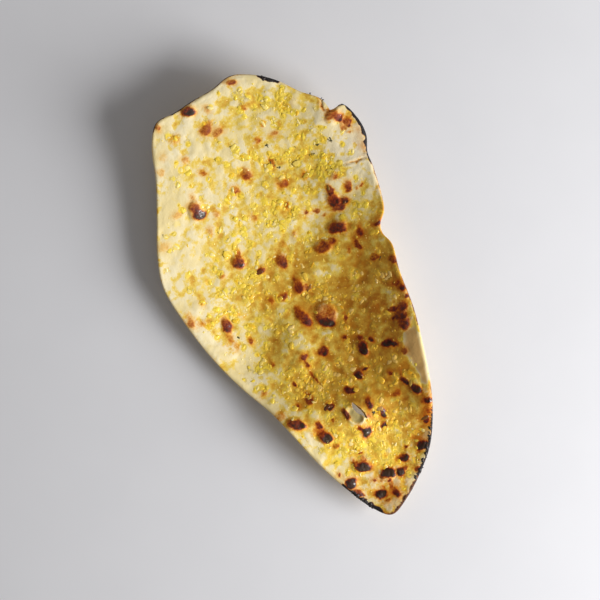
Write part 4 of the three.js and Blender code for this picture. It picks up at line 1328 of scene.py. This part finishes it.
def garlic_material():
    """Three yellows chosen by each chip's own shade, deeper where butter stands and where the sheet
    hangs in shade, which is partly painted shade, and brown on a scorch, mottled by noise, under a
    thin gloss."""
    material, tree, shader, place = new_material("chopped_garlic")
    mottle = noise_at(tree, place, 1.4, 3)
    yellows = ((0.0, 0.4, GARLIC_YELLOW), (0.7, 1.0, GARLIC_GOLD))
    colour = covered(tree, GARLIC_PALE, attribute(tree, "shade"), yellows)
    colour = mix(tree, times(tree, band(tree, mottle, 0.5, 0.75), 0.4), colour, GARLIC_PALE)
    # chips go deeper where butter stands, partly as painted shade of the shaded right side
    buttered = mix(tree, 1.0, colour, BUTTER_TINT, "MULTIPLY")
    colour = covered(tree, colour, attribute(tree, "butter"), ((0.2, 1.0, buttered),))
    colour = covered(tree, colour, attribute(tree, "scorch"), ((0.45, 0.85, GARLIC_BROWN),))
    film, film_height = butter_film(tree, 1.6, 0.9)
    fill(tree, shader, {
        "Base Color": colour,
        "Coat Weight": times(tree, film, 0.3),
        "Coat Roughness": 0.15,
        "Coat IOR": BUTTER_IOR,
        "Roughness": 0.42,
        "Specular IOR Level": 0.3,
        "Normal": bumped(tree, 0.4, 0.4, plus(tree, mottle, film_height)),
    })
    return material


garlic = strew(
    "chopped_garlic", GARLIC_CHIPS, lift=0.02, ragged=0.75, lean=0.12, material=garlic_material()
)

# %% [markdown]
# ## Coriander flecks and burnt crumbs
# A few shreds of coriander have gone dark green in the oven. They lie mostly on the upper right. The
# burnt stretches of the rim have broken into crumbs of char. Both are strewn like the garlic, from the
# same shape: flat for the shreds, and with strongly pushed corners for the crumbs.

# %% Coriander
CORIANDER = [  # x, y, radius of the cluster, number of flecks
    (16.5, 121.5, 1.4, 5), (22, 106, 5, 4), (14, 110, 3, 1), (54.4, 110.6, 0.7, 2), (49, 105.5, 1.2, 2),
    (64, 111.8, 2.2, 5), (-48.5, -14.5, 0.8, 2), (35.5, -101, 0.6, 2), (77, 9, 5, 2), (60, 88, 5, 1),
    (37, 118, 4, 1),
]
HERB_GREEN = (0.06, 0.07, 0.015)
HERB_BROWN = (0.12, 0.09, 0.03)
HERB_DARK = (0.03, 0.03, 0.01)


def herb_material():
    """Dark olive green, browner on some flecks."""
    material, tree, shader, place = new_material("coriander")
    colour = mix(tree, attribute(tree, "shade"), HERB_GREEN, HERB_BROWN)
    colour = mix(tree, times(tree, noise_at(tree, place, 0.8), 0.5), colour, HERB_DARK)
    normal = bumped(tree, 0.4, 0.2, noise_at(tree, place, 0.5))
    fill(tree, shader, {"Base Color": colour, "Roughness": 0.45, "Normal": normal})
    return material


def coriander_flecks(material):
    """Each cluster's flecks at draws within its radius, thin and up to 2.6 mm long."""
    cluster = np.array(CORIANDER)
    which = np.repeat(np.arange(len(cluster)), cluster[:, 3].astype(int))
    n = FIRST_FLECK + np.arange(len(which))
    out, angle = cluster[which, 2] * np.sqrt(draw(n, 0)), FULL_TURN * draw(n, 1)
    x, y = cluster[which, 0] + out * np.cos(angle), cluster[which, 1] + out * np.sin(angle)
    half_length = 0.6 + 0.7 * draw(n, 2)
    half_width, half_height = 0.3 + 0.35 * draw(n, 3), 0.12 + 0.1 * draw(n, 4)
    turn, shade = FULL_TURN * draw(n, 5), draw(n, SHADE)
    chips = chip_list(n, x, y, half_length, half_width, half_height, turn, 0.85, shade)
    return strew("coriander_flecks", chips, lift=0.2, ragged=0.9, lean=0.4, material=material)


flecks = coriander_flecks(herb_material())

# %% Burnt crumbs
LUMP_SIZE = 2
LUMP_RUNS = [  # share of the way round from, to, number of lumps
    (0.001, 0.02, 4), (0.426, 0.438, 2), (0.886, 0.935, 7),
]
CRUMB_RUNS = [  # share of the way round from, to, number of crumbs, size
    (0, 0.021, 44, 0.9), (0.425, 0.439, 16, 0.8), (0.872, 0.905, 26, 0.7), (0.905, 0.93, 20, 0.95),
    (0.93, 0.952, 9, 0.55), (0.955, 0.985, 8, 0.45), (0.566, 0.585, 6, 0.4), (0.59, 0.615, 8, 0.45),
    (0.636, 0.64, 3, 0.6),
]
STRAY_CRUMBS = [  # x, y
    (60.5, 150), (67.8, 144), (68.6, 142.7), (79.5, 134.8), (81, 134.6), (82.3, 134.2), (35, -100.5),
]
CHAR_BROWN = (0.05, 0.03, 0.025)


def char_material():
    """Black with patches of a brown cast and a faint gloss."""
    material, tree, shader, place = new_material("char")
    colour = covered(tree, CHAR, noise_at(tree, place, 1.5, 3), ((0.45, 0.7, CHAR_BROWN),))
    normal = bumped(tree, 0.7, 0.4, noise_at(tree, place, 0.7, 3))
    gloss = {"Roughness": 0.5, "Coat Weight": 0.3, "Coat Roughness": 0.3}
    fill(tree, shader, {"Base Color": colour, "Normal": normal, **gloss})
    return material


def rim_places(share, depth):
    """Places at shares of the way round the outline, moved inwards by a depth, and the outline's turn
    there."""
    k = np.floor(share * len(RING)).astype(int)
    step = RING[(k + 1) % len(RING)] - RING[k]
    turn = np.arctan2(step[:, 1], step[:, 0])
    return RING[k, 0] + depth * np.sin(turn), RING[k, 1] - depth * np.cos(turn), turn


def burnt_crumbs(material):
    """The lumps of char that the solid has too, crumbs along the burnt runs, and a few strays."""
    parts = []
    for start, end, count in LUMP_RUNS:
        k = np.arange(count)
        n = FIRST_LUMP + round(1000 * start) + k
        share = start + (end - start) * (k + 0.9 * draw(n, 0)) / count
        x, y, turn = rim_places(share, LUMP_SIZE * (0.7 + 0.6 * draw(n, 1)))
        size = LUMP_SIZE * (0.6 + 0.5 * draw(n, 2))
        sizes = (1.2 * size, 0.8 * size, 0.5 + 0.5 * draw(n, 3))
        parts.append(chip_list(n, x, y, *sizes, turn + draw(n, 4), 0.75, 1))
    for start, end, count, size in CRUMB_RUNS:
        k = np.arange(count)
        n = FIRST_CRUMB + int(start * 1000) * 10 + k
        share = start + (end - start) * (k + draw(n, 0)) / count
        x, y, _ = rim_places(share, 0.3 + 2 * draw(n, 1) ** 1.5)
        own = size * (0.5 + 0.8 * draw(n, 2) ** 2)
        sizes = (1.25 * own, 0.8 * own, 0.7 * own)
        parts.append(chip_list(n, x, y, *sizes, FULL_TURN * draw(n, 3), 0.7, 1))
    x, y = np.array(STRAY_CRUMBS).T.copy()
    n = FIRST_STRAY + np.arange(len(x))
    parts.append(chip_list(n, x, y, 0.9, 0.6, 0.5, FULL_TURN * draw(n, 3), 0.7, 1))
    chips = [np.concatenate(part) for part in zip(*parts)]
    return strew("burnt_crumbs", chips, lift=0.1, ragged=0.9, lean=0.3, material=material)


crumbs = burnt_crumbs(char_material())

# %% [markdown]
# ## What rides on what
# All pieces are part of the one body. The sheet stands for the solid of the same form, which is hidden.

# %% Frame
for piece in (naan, garlic, flecks, crumbs):
    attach(piece, "root")
    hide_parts(NODE)

# %% [markdown]
# ## Floor, light and camera
# A plain pale floor, one large soft light low on the right, which brings out the relief, and a dim sky.
# The camera looks straight down, turned so that the bread lies with its tip to the lower right.

# %% Stage
FLOOR_SIZE = 3.0            # lengths here and below are in metres, angles in degrees
CARD_TONES = ((0.78, 0.78, 0.81), (0.82, 0.82, 0.85))
CAMERA_X, CAMERA_Y, CAMERA_HEIGHT = 0.0063, -0.0004, 2.4
CAMERA_TURN = -17
FRAMED_HEIGHT = 0.022       # height at which the view is exactly as wide as given
SEEN_HALF_WIDTH = 0.2333
SENSOR_WIDTH = 36           # in millimetres, as a camera takes it
LIGHT_AZIMUTH = -18
LIGHT_ELEVATION = 26
LIGHT_DISTANCE = 1.6
LIGHT_SIZE, LIGHT_POWER = 1.0, 40
SKY_COLOUR, SKY_STRENGTH = (1, 0.97, 0.94, 1), 0.2


def floor():
    """A flat square of pale card under the bread."""
    half = FLOOR_SIZE / 2 / MM
    corners = [(-half, -half, 0), (half, -half, 0), (half, half, 0), (-half, half, 0)]
    material, tree, shader, place = new_material("pale_card")
    tone = mix(tree, noise_at(tree, place, 60), *CARD_TONES)
    fill(tree, shader, {"Base Color": tone, "Roughness": 0.7})
    return make_piece("floor", corners, [[0, 1, 2, 3]], material)


def camera_and_light():
    """Sets up both. The lens is half the sensor's width times the camera's distance over half the width
    seen. The light's direction is given as it looks from the camera, and turned into the bread's own
    axes."""
    scene = bpy.context.scene
    camera = bpy.data.objects.new("camera", bpy.data.cameras.new("camera"))
    camera.location = (CAMERA_X, CAMERA_Y, CAMERA_HEIGHT)
    camera.rotation_euler = (0, 0, math.radians(CAMERA_TURN))
    camera.data.sensor_width = SENSOR_WIDTH
    camera.data.lens = SENSOR_WIDTH / 2 * (CAMERA_HEIGHT - FRAMED_HEIGHT) / SEEN_HALF_WIDTH
    scene.collection.objects.link(camera)
    scene.camera = camera

    lamp = bpy.data.lights.new("window", "AREA")
    lamp.size, lamp.energy = LIGHT_SIZE, LIGHT_POWER
    azimuth = math.radians(LIGHT_AZIMUTH + CAMERA_TURN)
    elevation = math.radians(LIGHT_ELEVATION)
    flat = math.cos(elevation)
    toward = Vector((flat * math.cos(azimuth), flat * math.sin(azimuth), math.sin(elevation)))
    light = bpy.data.objects.new("window", lamp)
    light.location = toward * LIGHT_DISTANCE
    light.rotation_euler = (-toward).to_track_quat("-Z", "Y").to_euler()
    scene.collection.objects.link(light)

    scene.world = bpy.data.worlds.new("sky")
    scene.world.use_nodes = True
    sky = scene.world.node_tree.nodes["Background"]
    sky.inputs["Color"].default_value = SKY_COLOUR
    sky.inputs["Strength"].default_value = SKY_STRENGTH
    scene.view_settings.view_transform = "Standard"


floor()
camera_and_light()
